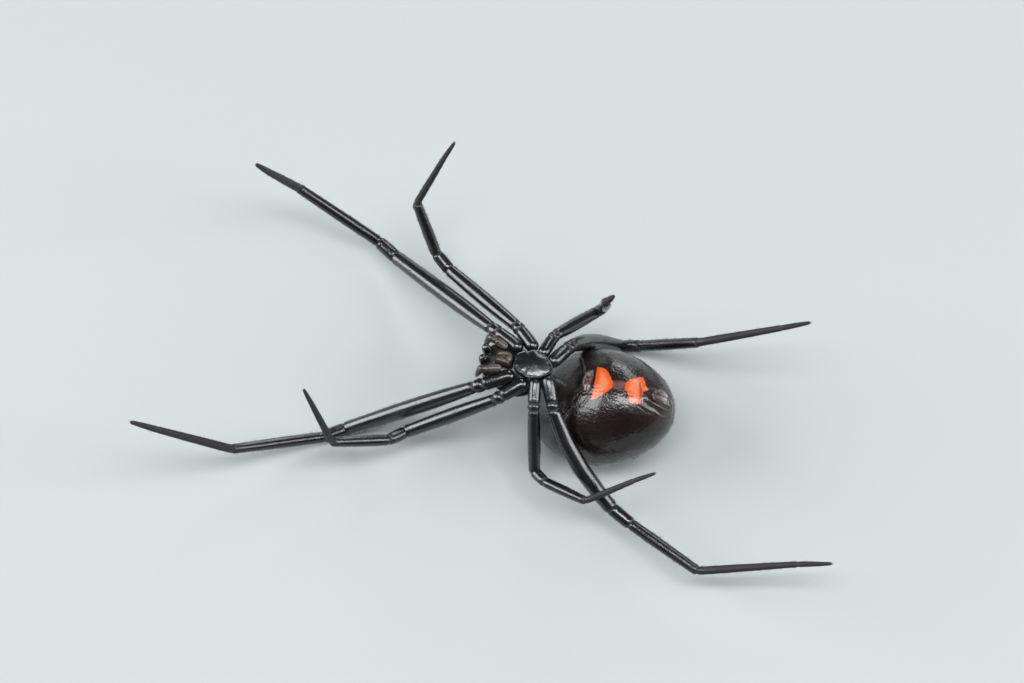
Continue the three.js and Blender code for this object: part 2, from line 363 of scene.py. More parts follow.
class Limb:
    """A limb solid with its axis, which points away from the end nearest a given point."""

    def __init__(self, node, near):
        self.solid = triangles(node)
        corners = np.unique(self.solid.reshape(-1, 3).round(4), axis=0)
        centre = corners.mean(0)
        self.axis = np.linalg.svd(corners - centre, full_matrices=False)[2][0]
        reach = (corners - centre) @ self.axis
        first, last = centre + reach.min() * self.axis, centre + reach.max() * self.axis
        if np.linalg.norm(last - near) < np.linalg.norm(first - near):
            self.axis, first, last = -self.axis, last, first
        self.first, self.last = first, last

    def middle(self, point):
        """Middle of the cut at a point."""
        return cut_middle(self.solid, point, self.axis)[0]

    def along(self, share):
        """Middle of the cut at a share of the length."""
        return self.middle(self.first + share * (self.last - self.first))

    def joint(self):
        """Centre of the ball at the far end, found by cutting one radius before the end."""
        radius = BALL_RADIUS
        for _ in range(3):
            middle, radius = cut_middle(self.solid, self.last - radius * self.axis, self.axis)
        return middle


print("limb measuring ready")

# %% [markdown]
# ## Joints of the legs
# A leg is five solids but has seven segments: the first solid holds the coxa and the short
# trochanter, and the last one the metatarsus and tarsus. Their borders are shares of those solids,
# read from the picture.

# %% Joints of every leg
TROCHANTER_START = 0.62
COXA_TUCK = 0.3
METATARSUS_SHARE = {1: 0.75, 2: 0.725, 3: 0.705, 4: 0.748}
FEMUR_BENDS = (0.25, 0.5, 0.75)
PATELLA, TIBIA, TARSUS, TIP = 3, 4, 6, 7


def box_middle(node):
    """Middle of a solid's box in millimetres."""
    return np.array(sum(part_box(node), Vector()) / 2 / MM)


body_middle = box_middle("cephalothorax")


def leg_stations(side, pair):
    """Joints and bends in order outwards, listed under the segment that starts there."""
    name = f"leg_{side}{pair}"
    coxa = Limb(f"{name}_coxa", body_middle)
    femur = Limb(f"{name}_femur", coxa.joint())
    patella = Limb(f"{name}_patella", femur.joint())
    tibia = Limb(f"{name}_tibia", patella.joint())
    ankle = tibia.joint()
    foot = Limb(f"{name}_foot", ankle)
    return {
        "coxa": [coxa.first - COXA_TUCK * coxa.axis, coxa.along(TROCHANTER_START / 2)],
        "trochanter": [coxa.along(TROCHANTER_START)],
        "femur": [coxa.joint(), *(femur.along(share) for share in FEMUR_BENDS)],
        "patella": [femur.joint()],
        "tibia": [patella.joint()],
        "metatarsus": [ankle],
        "tarsus": [foot.middle(ankle + METATARSUS_SHARE[pair] * (foot.last - ankle))],
        "tip": [foot.last],
    }


legs = {(side, pair): leg_stations(side, pair) for side in SIDES for pair in PAIRS}
print(f"{len(legs)} legs measured; the first left one ends at {legs['L', 1]['tip'][0].round(2)} mm")

# %% [markdown]
# ## A skin that follows a path
# A leg, palp, jaw, claw or spinneret is a round skin along a line, and its thickness changes on the
# way. Python lays the line's points with their radius, and Geometry Nodes sweeps a ring along it.
# One tree serves them all. The result is turned into a plain mesh at once.

# %% Path skin tree
def path_skin_tree():
    """Sweep a ring along each line, as wide as the radius that the line carries."""
    inlets = {"Geometry": ("Geometry", None), "Sides": ("Int", 20), "Finish": ("Material", None)}
    tree, given, out = group("path_skin", "GeometryNodeTree", inlets, {"Geometry": ("Geometry", None)})
    width = add(tree, "GeometryNodeInputNamedAttribute", {"Name": "radius"}, data_type="FLOAT").outputs[0]
    line = add(tree, "GeometryNodeMeshToCurve", {"Mesh": given["Geometry"]}).outputs[0]
    circle = add(tree, "GeometryNodeCurvePrimitiveCircle", {"Resolution": given["Sides"], "Radius": 1.0})
    turn = add(tree, "GeometryNodeSplineParameter").outputs["Factor"]
    ring = add(tree, "GeometryNodeStoreNamedAttribute", {
        "Geometry": circle.outputs[0], "Name": "around", "Value": turn},
        data_type="FLOAT", domain="POINT").outputs[0]
    skin = add(tree, "GeometryNodeCurveToMesh", {
        "Curve": line, "Profile Curve": ring, "Scale": width, "Fill Caps": True})
    smooth = add(tree, "GeometryNodeSetShadeSmooth", {"Geometry": skin.outputs[0]}).outputs[0]
    whole = add(tree, "GeometryNodeRealizeInstances", {"Geometry": smooth}).outputs[0]
    done = add(tree, "GeometryNodeSetMaterial", {"Geometry": whole, "Material": given["Finish"]}).outputs[0]
    tree.links.new(done, out["Geometry"])
    return tree


def run_tree(name, mesh, tree, values):
    """Run a Geometry Nodes tree on a mesh and return the result as a new plain mesh."""
    holder = bpy.data.objects.new(f"{name}_maker", mesh)
    bpy.context.scene.collection.objects.link(holder)
    modifier = holder.modifiers.new("maker", "NODES")
    modifier.node_group = tree
    for item in tree.interface.items_tree:
        if item.in_out == "INPUT" and item.name in values:
            modifier[item.identifier] = values[item.name]
    ready = holder.evaluated_get(bpy.context.evaluated_depsgraph_get())
    made = bpy.data.meshes.new_from_object(ready)
    made.name = name
    holder.modifiers.clear()
    bpy.data.objects.remove(holder)
    return made


PATH_SKIN = path_skin_tree()
print("path skin tree built")

# %% [markdown]
# ## From a mesh to a piece
# A piece is a mesh object that stands for one or more solids and rides on the still body. These
# helpers read and write values on its points, check by its volume that its faces point outwards, and
# hide the solids it replaces.

# %% Pieces from finished meshes
def read(mesh, name):
    """The values that a mesh carries on its points."""
    values = np.empty(len(mesh.vertices), np.float32)
    mesh.attributes[name].data.foreach_get("value", values)
    return values


def write(mesh, name, values):
    """Store one value on each point."""
    made = mesh.attributes.get(name) or mesh.attributes.new(name, "FLOAT", "POINT")
    made.data.foreach_set("value", np.asarray(values, np.float32))


def spots_of(mesh):
    """The mesh's points in millimetres."""
    spots = np.empty(len(mesh.vertices) * 3, np.float32)
    mesh.vertices.foreach_get("co", spots)
    return spots.reshape(-1, 3).astype(float) / MM


def volume(mesh):
    """Six times the volume inside a mesh; negative where its faces point inwards."""
    mesh.calc_loop_triangles()
    corners = np.empty(len(mesh.loop_triangles) * 3, np.int32)
    mesh.loop_triangles.foreach_get("vertices", corners)
    a, b, c = spots_of(mesh)[corners.reshape(-1, 3)].transpose(1, 0, 2)
    return (a * np.cross(b, c)).sum()


def piece(mesh, slot, *nodes):
    """Put a mesh in the scene as a piece of the spider that stands for the named solids."""
    if volume(mesh) < 0:
        mesh.flip_normals()
    made = bpy.data.objects.new(mesh.name, mesh)
    bpy.context.scene.collection.objects.link(made)
    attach(made, "root")
    if nodes:
        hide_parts(*nodes)
    print(f"{mesh.name}: {sum(len(p.vertices) - 2 for p in mesh.polygons):,} triangles")
    return made


def swept(name, paths, finish_used, sides=20, **carried):
    """Sweep one skin along each path. A path is (points, radii), both in millimetres."""
    points = np.concatenate([p for p, _ in paths])
    counts = [len(p) for p, _ in paths]
    starts = np.cumsum([0, *counts[:-1]])
    edges = [(s + i, s + i + 1) for s, n in zip(starts, counts) for i in range(n - 1)]
    line = bpy.data.meshes.new(f"{name}_line")
    line.from_pydata((points * MM).tolist(), edges, [])
    write(line, "radius", np.concatenate([r for _, r in paths]) * MM)
    for label, values in carried.items():
        write(line, label, values)
    return run_tree(name, line, PATH_SKIN, {"Sides": sides, "Finish": finish_used})


print("piece helpers ready")

# %% [markdown]
# ## Legs
# A spider's leg has seven segments. Each is a hard tube, widest before its middle, that flares a
# little at the joints and is pinched by a ring of soft skin between them. The radii below are the
# start, widest and end of each segment, read from the picture in millimetres.

# %% Leg thickness
LEG_RADII = {
    1: ((0.31, 0.37, 0.33), (0.33, 0.345, 0.31), (0.30, 0.43, 0.35), (0.31, 0.345, 0.30),
        (0.27, 0.285, 0.245), (0.215, 0.2, 0.165), (0.155, 0.14, 0.095)),
    2: ((0.30, 0.35, 0.31), (0.31, 0.325, 0.29), (0.285, 0.375, 0.32), (0.285, 0.32, 0.28),
        (0.265, 0.285, 0.235), (0.18, 0.165, 0.13), (0.12, 0.11, 0.075)),
    3: ((0.28, 0.32, 0.29), (0.29, 0.30, 0.27), (0.265, 0.325, 0.285), (0.26, 0.285, 0.255),
        (0.24, 0.26, 0.215), (0.17, 0.155, 0.125), (0.115, 0.105, 0.07)),
    4: ((0.29, 0.36, 0.32), (0.32, 0.335, 0.30), (0.30, 0.425, 0.36), (0.31, 0.34, 0.30),
        (0.275, 0.29, 0.25), (0.205, 0.19, 0.15), (0.135, 0.125, 0.08)),
}
STEP, LEAST_STEP, TOUCH, CAP_STEPS = 0.1, 0.008, 0.001, 8
JOINT_STEPS = (0, 0.02, 0.04, 0.06, 0.085, 0.11, 0.14, 0.17, 0.2, 0.24, 0.28, 0.33)
CORNER_ROUNDING = 0.17
GROOVE_WIDTH, GROOVE_DEPTH = 0.045, 0.12
FLARE_WIDTH, FLARE_PLACE, FLARE = 0.1, 0.18, 0.035
FINE_STEP = 0.01
LEG_TIP_SHAPE = 1.4
print(f"thickest femur {2 * max(radii[2][1] for radii in LEG_RADII.values()):.2f} mm")

# %% [markdown]
# ## Paths with rounded corners
# A joint bends sharply, but the skin over it is a soft curve. The line through the joints is sampled
# finely and averaged along its length, which rounds every corner by the same amount and keeps both
# ends in place. Points lie close together at the joints, where the thickness changes fast.

# %% Path of a leg
def lengths_along(corners):
    """How far along a line each of its corners lies."""
    return np.concatenate([[0], np.cumsum(np.linalg.norm(np.diff(corners, axis=0), axis=1))])


def smooth_path(corners, at, rounding):
    """Points at the given lengths of a line through the corners, with its corners rounded."""
    lengths = lengths_along(corners)
    fine = np.arange(0, lengths[-1], FINE_STEP)
    line = np.stack([np.interp(fine, lengths, corners[:, k]) for k in range(3)], 1)
    reach = min(int(4 * rounding / FINE_STEP), len(fine) - 1)
    weights = np.exp(-0.5 * (np.arange(-reach, reach + 1) * FINE_STEP / rounding) ** 2)
    weights /= weights.sum()
    before = line[0] + (line[0] - line[1:reach + 1])[::-1]
    after = line[-1] + (line[-1] - line[-reach - 1:-1])[::-1]
    padded = np.concatenate([before, line, after])
    soft = np.stack([np.convolve(padded[:, k], weights, "valid") for k in range(3)], 1)
    return np.stack([np.interp(at, fine, soft[:, k]) for k in range(3)], 1)


def rounded_end(radii, at, end, shape=1.0):
    """Radii that close to a round tip at one end of the path."""
    reach = shape * np.interp(end, at, radii)
    inside = np.clip(np.abs(at - end) / reach, 0, 1)
    return radii * np.sqrt(np.maximum(1 - (1 - inside) ** 2, 1e-4))


def leg_path(side, pair):
    """Points, radii and what the leg carries along its length."""
    stations = legs[side, pair]
    corners = np.array([point for part in stations.values() for point in part])
    lengths = lengths_along(corners)
    first = np.cumsum([0, *(len(part) for part in stations.values())])[:-1]
    joints = lengths[first]
    near = np.array([j + sign * s for j in joints[1:-1] for s in JOINT_STEPS for sign in (-1, 1)])
    cap = 0.5 * np.array(JOINT_STEPS[:CAP_STEPS])
    wanted = np.concatenate([np.arange(0, joints[-1], STEP), near, cap, joints[-1] - cap])
    at = np.unique(wanted.clip(0, joints[-1]).round(4))
    at = at[np.concatenate([[True], np.diff(at) > LEAST_STEP])]
    radii = np.zeros(len(at))
    for number, (start, widest, end) in enumerate(LEG_RADII[pair]):
        share = ((at - joints[number]) / (joints[number + 1] - joints[number])).clip(0, 1)
        inside = (at > joints[number] - TOUCH) & (at < joints[number + 1] + TOUCH)
        swell = np.sin(np.pi * share ** 0.8) * (widest - (start + end) / 2)
        radii[inside] = (start + (end - start) * share + swell)[inside]
    distance = np.abs(at[:, None] - joints[1:-1]).min(1)
    radii *= 1 - GROOVE_DEPTH * np.exp(-(distance / GROOVE_WIDTH) ** 2)
    radii *= 1 + FLARE * np.exp(-((distance - FLARE_PLACE) / FLARE_WIDTH) ** 2)
    radii = rounded_end(rounded_end(radii, at, at[-1], LEG_TIP_SHAPE), at, 0)
    points = smooth_path(corners, at, CORNER_ROUNDING)
    return points, radii, at, joints, distance


print("leg path ready")

# %% [markdown]
# ## Leg skins
# One closed skin covers a whole leg, so there is no seam at any joint. It carries how soft it is,
# highest in the ring at each joint, how thin its armour is, and how far out along the leg it lies.

# %% Leg skins
SOFT_RING = 0.06
leg_lines, leg_skins = {}, {}
for side, pair in legs:
    points, radii, at, joints, distance = leg_path(side, pair)
    leg_lines[side, pair] = (points, radii, at, joints)
    thin = np.clip((at - joints[TIBIA]) / (joints[TIP] - joints[TIBIA]), 0, 1)
    skin = swept(f"leg_{side}{pair}_skin", [(points, radii)], ARMOUR, 24,
                 softness=np.exp(-(distance / SOFT_RING) ** 2), thinness=thin, outwards=at)
    parts = ("coxa", "femur", "patella", "tibia", "foot")
    leg_skins[side, pair] = piece(skin, "cuticle", *(f"leg_{side}{pair}_{part}" for part in parts))

# %% [markdown]
# ## Moving points for real relief
# Folds, dents and raised rims on the body are made by moving points along the surface's normal, so
# they show in any light and in the mesh itself, as a bump in a material wouldn't. These helpers
# give a closed grid of points and turn distances into soft hills, steps and waves.

# %% Closed grid and helpers for surface detail
def ball_grid(rings, sides):
    """Unit points on rings from a pole at -X to a pole at +X, and the faces between them."""
    polar = np.linspace(0, np.pi, rings + 1)[1:-1, None]
    turn = np.linspace(0, 2 * np.pi, sides, endpoint=False)[None]
    wide = np.sin(polar)
    ring = np.stack([-np.cos(polar) + 0 * turn, wide * np.cos(turn), wide * np.sin(turn)], 2)
    points = np.concatenate([[[-1, 0, 0]], ring.reshape(-1, 3), [[1, 0, 0]]])
    index = 1 + np.arange((rings - 1) * sides).reshape(rings - 1, sides)
    after = np.roll(index, -1, axis=1)
    quads = np.stack([index[:-1], index[1:], after[1:], after[:-1]], 2).reshape(-1, 4).tolist()
    caps = [(0, a, b) for a, b in zip(index[0], after[0])]
    caps += [(len(points) - 1, b, a) for a, b in zip(index[-1], after[-1])]
    return points, quads + [tuple(int(i) for i in cap) for cap in caps]


def solid_mesh(name, shells, finish_used):
    """One smooth mesh from closed shells, each (points in millimetres, faces)."""
    points, faces, start = [], [], 0
    for shell_points, shell_faces in shells:
        points.append(shell_points)
        faces += [tuple(start + i for i in face) for face in shell_faces]
        start += len(shell_points)
    mesh = bpy.data.meshes.new(name)
    mesh.from_pydata((np.concatenate(points) * MM).tolist(), [], faces)
    mesh.materials.append(finish_used)
    mesh.shade_smooth()
    if volume(mesh) < 0:
        mesh.flip_normals()
    mesh.update()
    return mesh


def raise_surface(mesh, amount):
    """Move each point along its normal by an amount in millimetres."""
    normals = np.empty(len(mesh.vertices) * 3, np.float32)
    mesh.vertex_normals.foreach_get("vector", normals)
    moved = spots_of(mesh) + normals.reshape(-1, 3) * np.asarray(amount)[:, None]
    mesh.vertices.foreach_set("co", (moved * MM).astype(np.float32).ravel())
    mesh.update()


def hill(distance, width):
    """1 at no distance, falling to 0 over about twice the width."""
    return np.exp(-(distance / width) ** 2)


def step_up(value, low, high):
    """A smooth step from 0 at low to 1 at high."""
    share = np.clip((value - low) / (high - low), 0, 1)
    return share * share * (3 - 2 * share)


def line_distance(points, corners):
    """Distance in the plane from each point to a line through the corners."""
    corners = np.asarray(corners, float)
    best = np.full(len(points), np.inf)
    for a, b in zip(corners[:-1], corners[1:]):
        share = np.clip(((points - a) @ (b - a)) / ((b - a) @ (b - a)), 0, 1)
        best = np.minimum(best, np.linalg.norm(points - a - share[:, None] * (b - a), axis=1))
    return best


def inside_distance(points, corners):
    """Distance to a closed outline, positive inside it."""
    corners = np.asarray(corners, float)
    inside = np.zeros(len(points), bool)
    for a, b in zip(corners, np.roll(corners, -1, axis=0)):
        spans = (a[1] > points[:, 1]) != (b[1] > points[:, 1])
        rise = b[1] - a[1] if b[1] != a[1] else 1
        inside ^= spans & (points[:, 0] < a[0] + (points[:, 1] - a[1]) * (b[0] - a[0]) / rise)
    return line_distance(points, [*corners, corners[0]]) * np.where(inside, 1, -1)


def ripple(points, length, seed):
    """Soft random waves, about one high for each length in millimetres."""
    rng = np.random.default_rng(seed)
    ways = rng.normal(size=(14, 3))
    ways *= (2 * np.pi / length) * rng.uniform(0.7, 1.3, 14)[:, None] / np.linalg.norm(ways, axis=1)[:, None]
    return np.sin(points @ ways.T + rng.uniform(0, 2 * np.pi, 14)).mean(1) * 2


print("surface helpers ready")

# %% [markdown]
# ## Abdomen and its marks
# The abdomen is an egg with its broad end to the front and its tail end raised. Rings of points from
# pole to pole follow the same rule as the solid, a hair's breadth inside it, and it is flat where it
# rests. The genital plate, pit, folds and creases of the belly are lists of lines and ovals.
#
# The hourglass is two orange patches, a three-cornered one behind the genital plate and a squarish
# one before the spinnerets, with a faint pink bridge. Their outlines are short lists of corners seen
# from above. The mesh carries the distance to the edge, and the finish turns that into a crisp line.

# %% Abdomen skin
INSET = 0.03
EGG_RINGS, EGG_SIDES = 190, 290
EGG_MIDDLE = (1.0, 0.0, 2.92)
EGG_HALF = (3.6, 3.0, 2.9)
TAIL_RISE, TAIL_TAPER, BELLY_TAPER, FRONT_SLOPE = 0.8, 0.13, 0.1, 0.22
FRONT_MARK = [(0.30, 1.07), (0.61, 1.05), (0.91, 0.85), (1.15, 0.52), (1.35, 0.24), (1.36, -0.04),
              (1.23, -0.25), (1.00, -0.46), (0.81, -0.63), (0.48, -0.80), (0.42, -0.75), (0.44, -0.44),
              (0.44, -0.07), (0.41, 0.27), (0.35, 0.67)]
REAR_MARK = [(2.13, 0.66), (2.35, 0.84), (2.68, 1.05), (2.82, 0.80), (3.09, 0.33), (2.91, 0.15),
             (2.89, -0.07), (2.95, -0.41), (2.80, -0.53), (2.45, -0.59), (2.32, -0.46), (2.23, -0.23),
             (2.07, -0.06), (1.94, 0.12), (1.95, 0.39)]
BRIDGE = [(1.30, 0.13), (2.0, 0.21)]
BRIDGE_WIDTH = 0.2
PLATE_MIDDLE, PLATE_HALF = np.array([0.02, 0.27]), np.array([0.25, 0.62])
PIT_MIDDLE, PIT_HALF = np.array([-0.44, 0.33]), np.array([0.24, 0.62])
FURROWS = [[(-0.4, 1.05), (-0.62, 1.6), (-1.0, 2.1)], [(-0.22, -0.42), (-0.5, -1.2), (-0.95, -1.9)]]
FOLD = [(0.06, -1.12), (0.22, -0.86), (0.38, -0.56)]
CREASE = [(2.62, 0.59), (2.78, 0.12), (2.95, -0.42)]
DIMPLES = [(0.1, 0.85), (0.1, -0.85), (1.3, 0.75), (1.3, -0.75), (2.3, 0.6), (2.3, -0.6)]
PLATE_HEIGHT, PLATE_WAVES, WAVE_HEIGHT = 0.07, 11, 0.025
PIT_DEPTH, RIM_DEPTH = 0.2, 0.06
FURROW_DEPTH, FURROW_WIDTH = 0.025, 0.07
FOLD_HEIGHT, FOLD_WIDTH = 0.045, 0.045
# The last width sets the band of painted shade that darkens the crease.
CREASE_DEPTH, CREASE_WIDTH, CREASE_SHADE_WIDTH = 0.02, 0.035, 0.05
DIMPLE_DEPTH, DIMPLE_WIDTH = 0.06, 0.16
TAIL_RIM, TAIL_HOLLOW, TAIL_WAVES = 0.07, 0.05, 0.006
WAVES = [(0.014, 1.1, 3, (1, 1, 1)), (0.006, 0.5, 5, (1, 2.2, 1))]
# Where the lung covers lie; the finish paints a grey reflection over them.
LUNG_MIDDLE, LUNG_HALF = (-1.0, 0.3, 4.5), (0.55, 0.75, 0.7)
REST_BAND = 0.06
spinneret_limb = Limb("spinnerets", np.array(EGG_MIDDLE))


def egg_shape(unit):
    """The rule of the solid: broad in front, tapered and raised at the tail, narrower on the belly."""
    x, y, z = unit.T
    ring = np.maximum(np.hypot(y, z), 1e-9)
    width = (EGG_HALF[1] - INSET) * (1 - TAIL_TAPER * x)
    rise = np.where(z > 0, 1 - FRONT_SLOPE * np.maximum(0, -x), 1)
    return np.stack([
        EGG_MIDDLE[0] + (EGG_HALF[0] - INSET) * x,
        width * y * (1 - BELLY_TAPER * z / ring),
        EGG_MIDDLE[2] + TAIL_RISE * x + (EGG_HALF[2] - INSET) * z * rise,
    ], 1)


def abdomen_skin(finish_used):
    """The abdomen's skin, with its relief and the values that its finish reads."""
    unit, faces = ball_grid(EGG_RINGS, EGG_SIDES)
    points = egg_shape(unit)
    mesh = solid_mesh("abdomen_skin", [(points, faces)], finish_used)
    flat = points[:, :2]
    belly = step_up(unit[:, 2], 0.0, 0.35)
    back = step_up(-unit[:, 2], 0.2, 0.6)
    plate = np.linalg.norm((flat - PLATE_MIDDLE) / PLATE_HALF, axis=1)
    pit = np.exp(-np.linalg.norm((flat - PIT_MIDDLE) / PIT_HALF, axis=1) ** 4) * step_up(plate, 0.95, 1.15)
    rim = hill(plate - 1.15, 0.12)
    on_plate = step_up(-plate, -1.1, -0.95)
    amount = PLATE_HEIGHT * step_up(-plate, -1.2, -0.75) * belly
    amount += WAVE_HEIGHT * np.cos(plate * PLATE_WAVES) * on_plate * belly
    amount -= (PIT_DEPTH * pit + RIM_DEPTH * rim) * belly
    for furrow in FURROWS:
        amount -= FURROW_DEPTH * hill(line_distance(flat, furrow), FURROW_WIDTH) * belly
    amount += FOLD_HEIGHT * hill(line_distance(flat, FOLD), FOLD_WIDTH) * belly
    amount -= CREASE_DEPTH * hill(line_distance(flat, CREASE), CREASE_WIDTH) * belly
    for dimple in DIMPLES:
        amount -= DIMPLE_DEPTH * hill(np.linalg.norm(flat - dimple, axis=1), DIMPLE_WIDTH) * back
    from_axis = np.linalg.norm(np.cross(points - spinneret_limb.first, spinneret_limb.axis), axis=1)
    tail = step_up((points - spinneret_limb.first) @ spinneret_limb.axis, -0.6, -0.3)
    amount += (TAIL_RIM * hill(from_axis - 0.5, 0.1) - TAIL_HOLLOW * hill(from_axis, 0.4)) * tail
    amount += TAIL_WAVES * np.cos(from_axis * 22) * hill(from_axis - 0.75, 0.3) * tail
    for height, length, seed, stretch in WAVES:
        amount += height * ripple(points * stretch, length, seed)
    raise_surface(mesh, amount)
    moved = spots_of(mesh)
    moved[:, 2] = np.where(moved[:, 2] < REST_BAND, np.maximum(moved[:, 2], 0), moved[:, 2])
    mesh.vertices.foreach_set("co", (moved * MM).astype(np.float32).ravel())
    mesh.update()
    edge = np.maximum(inside_distance(flat, FRONT_MARK), inside_distance(flat, REAR_MARK))
    write(mesh, "mark_edge", np.where(unit[:, 2] > 0, edge, -3))
    inside_bridge = BRIDGE_WIDTH - line_distance(flat, BRIDGE)
    write(mesh, "bridge", step_up(inside_bridge, -0.12, 0.12) * belly)
    write(mesh, "plate", step_up(-plate, -1.1, -0.9) * belly)
    write(mesh, "plate_rings", step_up(np.cos(plate * PLATE_WAVES), 0.3, 0.95) * on_plate * belly)
    # Mask for painted shade in the pit and, weaker, in the groove round the plate.
    write(mesh, "hollow_shade", np.maximum(pit, 0.7 * rim) * belly)
    # Mask for the painted reflection over the lung covers.
    write(mesh, "lung_cover_reflection", hill(np.linalg.norm((points - LUNG_MIDDLE) / LUNG_HALF, axis=1), 1.0))
    # Mask for painted shade along the crease.
    write(mesh, "crease_shade", hill(line_distance(flat, CREASE), CREASE_SHADE_WIDTH) * belly)
    write(mesh, "tail_end", hill(from_axis, 0.7) * tail)
    return mesh


print(f"abdomen {2 * EGG_HALF[0]:.1f} mm long and {2 * EGG_HALF[1]:.1f} mm wide before its taper")

# %% [markdown]
# ## Abdomen finish
# The abdomen is smooth, stretched skin, brown-black and glossy, with fine creases that break its
# shine. The finish lays its colours over each other from values on the mesh: skin, a painted
# reflection over the lung covers, tail, plate, bridge and marks, then painted shade along the crease
# and in the pit and groove of the genital plate. Each mark is orange at its edge and salmon inside,
# as on the real belly.

# %% Abdomen finish
BROWN_BLACK, RED_BROWN = (0.0045, 0.0024, 0.0022, 1), (0.0105, 0.0042, 0.0036, 1)
# The first grey is a painted reflection over the lung covers; the second is the tail's own skin.
LUNG_REFLECTION_GREY, TAIL_GREY = (0.040, 0.037, 0.034, 1), (0.034, 0.022, 0.021, 1)
PLATE_BROWN, RING_GREY = (0.055, 0.024, 0.024, 1), (0.17, 0.12, 0.125, 1)
EDGE_ORANGE, SALMON = (0.5, 0.064, 0.004, 1), (0.5, 0.14, 0.061, 1)
# The dark red for the crease is painted shade in the fold.
BRIDGE_PINK, CREASE_SHADE_RED = (0.20, 0.085, 0.072, 1), (0.16, 0.03, 0.012, 1)
# Near black painted as shade in the pit and the groove round the plate.
PIT_SHADE_BLACK = (0.003, 0.002, 0.002, 1)
RAGGED_MM = 0.12


def abdomen_finish():
    """Glossy brown-black skin with its marks laid over it."""
    material, tree, shader, grain = finish(
        "abdomen_skin", coat=0.3, coat_rough=0.16, specular=0.45, wrinkles_per_mm=3.2, pits_per_mm=10.0,
        stretch=1.8, pit_share=0.45)
    noise = math_node(tree, "SUBTRACT", grain["Height"], 0.5)
    ragged = math_node(tree, "MULTIPLY_ADD", noise, RAGGED_MM, attribute(tree, "mark_edge"))
    mark = ramp(tree, ragged, -0.02, 0.035)
    deep = ramp(tree, ragged, 0.10, 0.34)
    orange = blend(tree, deep, EDGE_ORANGE, SALMON)
    brown = blend(tree, grain["Patches"], BROWN_BLACK, RED_BROWN)
    # Painted reflection: grey laid over the lung covers.
    pale = blend(tree, attribute(tree, "lung_cover_reflection"), brown, LUNG_REFLECTION_GREY)
    tail = blend(tree, attribute(tree, "tail_end"), pale, TAIL_GREY)
    plate = blend(tree, attribute(tree, "plate"), tail, PLATE_BROWN)
    ringed = blend(tree, attribute(tree, "plate_rings"), plate, RING_GREY)
    faint = math_node(tree, "MULTIPLY", attribute(tree, "bridge"), grain["Height"])
    bridged = blend(tree, faint, ringed, BRIDGE_PINK)
    marked = blend(tree, mark, bridged, orange)
    # Painted shade: darker red along the crease in the rear mark.
    crease_shaded = blend(tree, attribute(tree, "crease_shade"), marked, CREASE_SHADE_RED)
    # Painted shade in the pit and the groove round the plate.
    colour = blend(tree, attribute(tree, "hollow_shade"), crease_shaded, PIT_SHADE_BLACK)
    rough = ramp(tree, grain["Patches"], 0.3, 0.7, 0.22, 0.32)
    paint(shader, tree, colour, rough)
    bump(tree, shader, grain["Height"], 0.035)
    return material


ABDOMEN = abdomen_finish()
abdomen = piece(abdomen_skin(ABDOMEN), "abdomen", "abdomen")

# %% [markdown]
# ## Front body
# The carapace is a stiff shell over the back, seen here from the side and from behind. It is wide
# where the legs start, has a pit with rays running out of it, and narrows to a raised head. A core of
# soft skin fills the space between the shell, the leg roots and the breast plate.

# %% Carapace and core
SHELL_MIDDLE = np.array([-3.7, 0.1, 4.6])
SHELL_LENGTH, SHELL_WIDTH, HEAD_SHARE = 1.72, 1.42, 0.78
BACK_DEPTH, BELLY_DEPTH = 1.25, 0.33
CORES = [((-2.98, 0.1, 5.0), (1.14, 0.95, 0.72)), ((-4.35, 0.1, 4.97), (0.94, 1.06, 0.5))]
EYE_ROWS, EYE_PLACES = ("front", "rear"), ("median", "lateral")
EYES = [f"eye_{row}_{place}_{side}" for row in EYE_ROWS for place in EYE_PLACES for side in SIDES]
eye_middles = {name: box_middle(name) for name in EYES}
PIT_PLACE, PIT_SIZE, PIT_SINK = (0.35, 0), (0.32, 0.16), 0.13
NECK_DEPTH, NECK_WIDTH = 0.07, 0.1
RAY_ENDS, RAY_DEPTH, RAY_WIDTH = (0.25, 1.25), 0.03, 0.09
EDGE_BEAD, EYE_SEAT, EYE_SEAT_WIDTH = 0.03, 0.07, 0.13
NECK = [(0.15, 0.05), (-0.35, 0.5), (-0.75, 1.05)]
RAY_HEADINGS = (75, 105, 140)
CORE_SOFTNESS = 0.35
SHELL_RINGS, SHELL_SIDES = 150, 190
CORE_RINGS, CORE_SIDES = 50, 70


def shell_shape(unit):
    """The carapace: blunt at both ends, narrower at the head, deep on the back."""
    x, z = unit[:, 0], unit[:, 2]
    ring = np.sqrt(np.maximum(1 - x * x, 1e-9))
    full = ring ** (2 * np.where(x < 0, 0.42, 0.62) - 1)
    narrow = HEAD_SHARE + (1 - HEAD_SHARE) * step_up(x, -0.7, 0.15)
    depth = np.where(z < 0, BACK_DEPTH * (1 - 0.25 * np.maximum(0, x)), BELLY_DEPTH)
    half = np.stack([np.full(len(x), SHELL_LENGTH - INSET), (SHELL_WIDTH - INSET) * narrow * full,
                     (depth - INSET) * full], 1)
    return SHELL_MIDDLE + half * unit


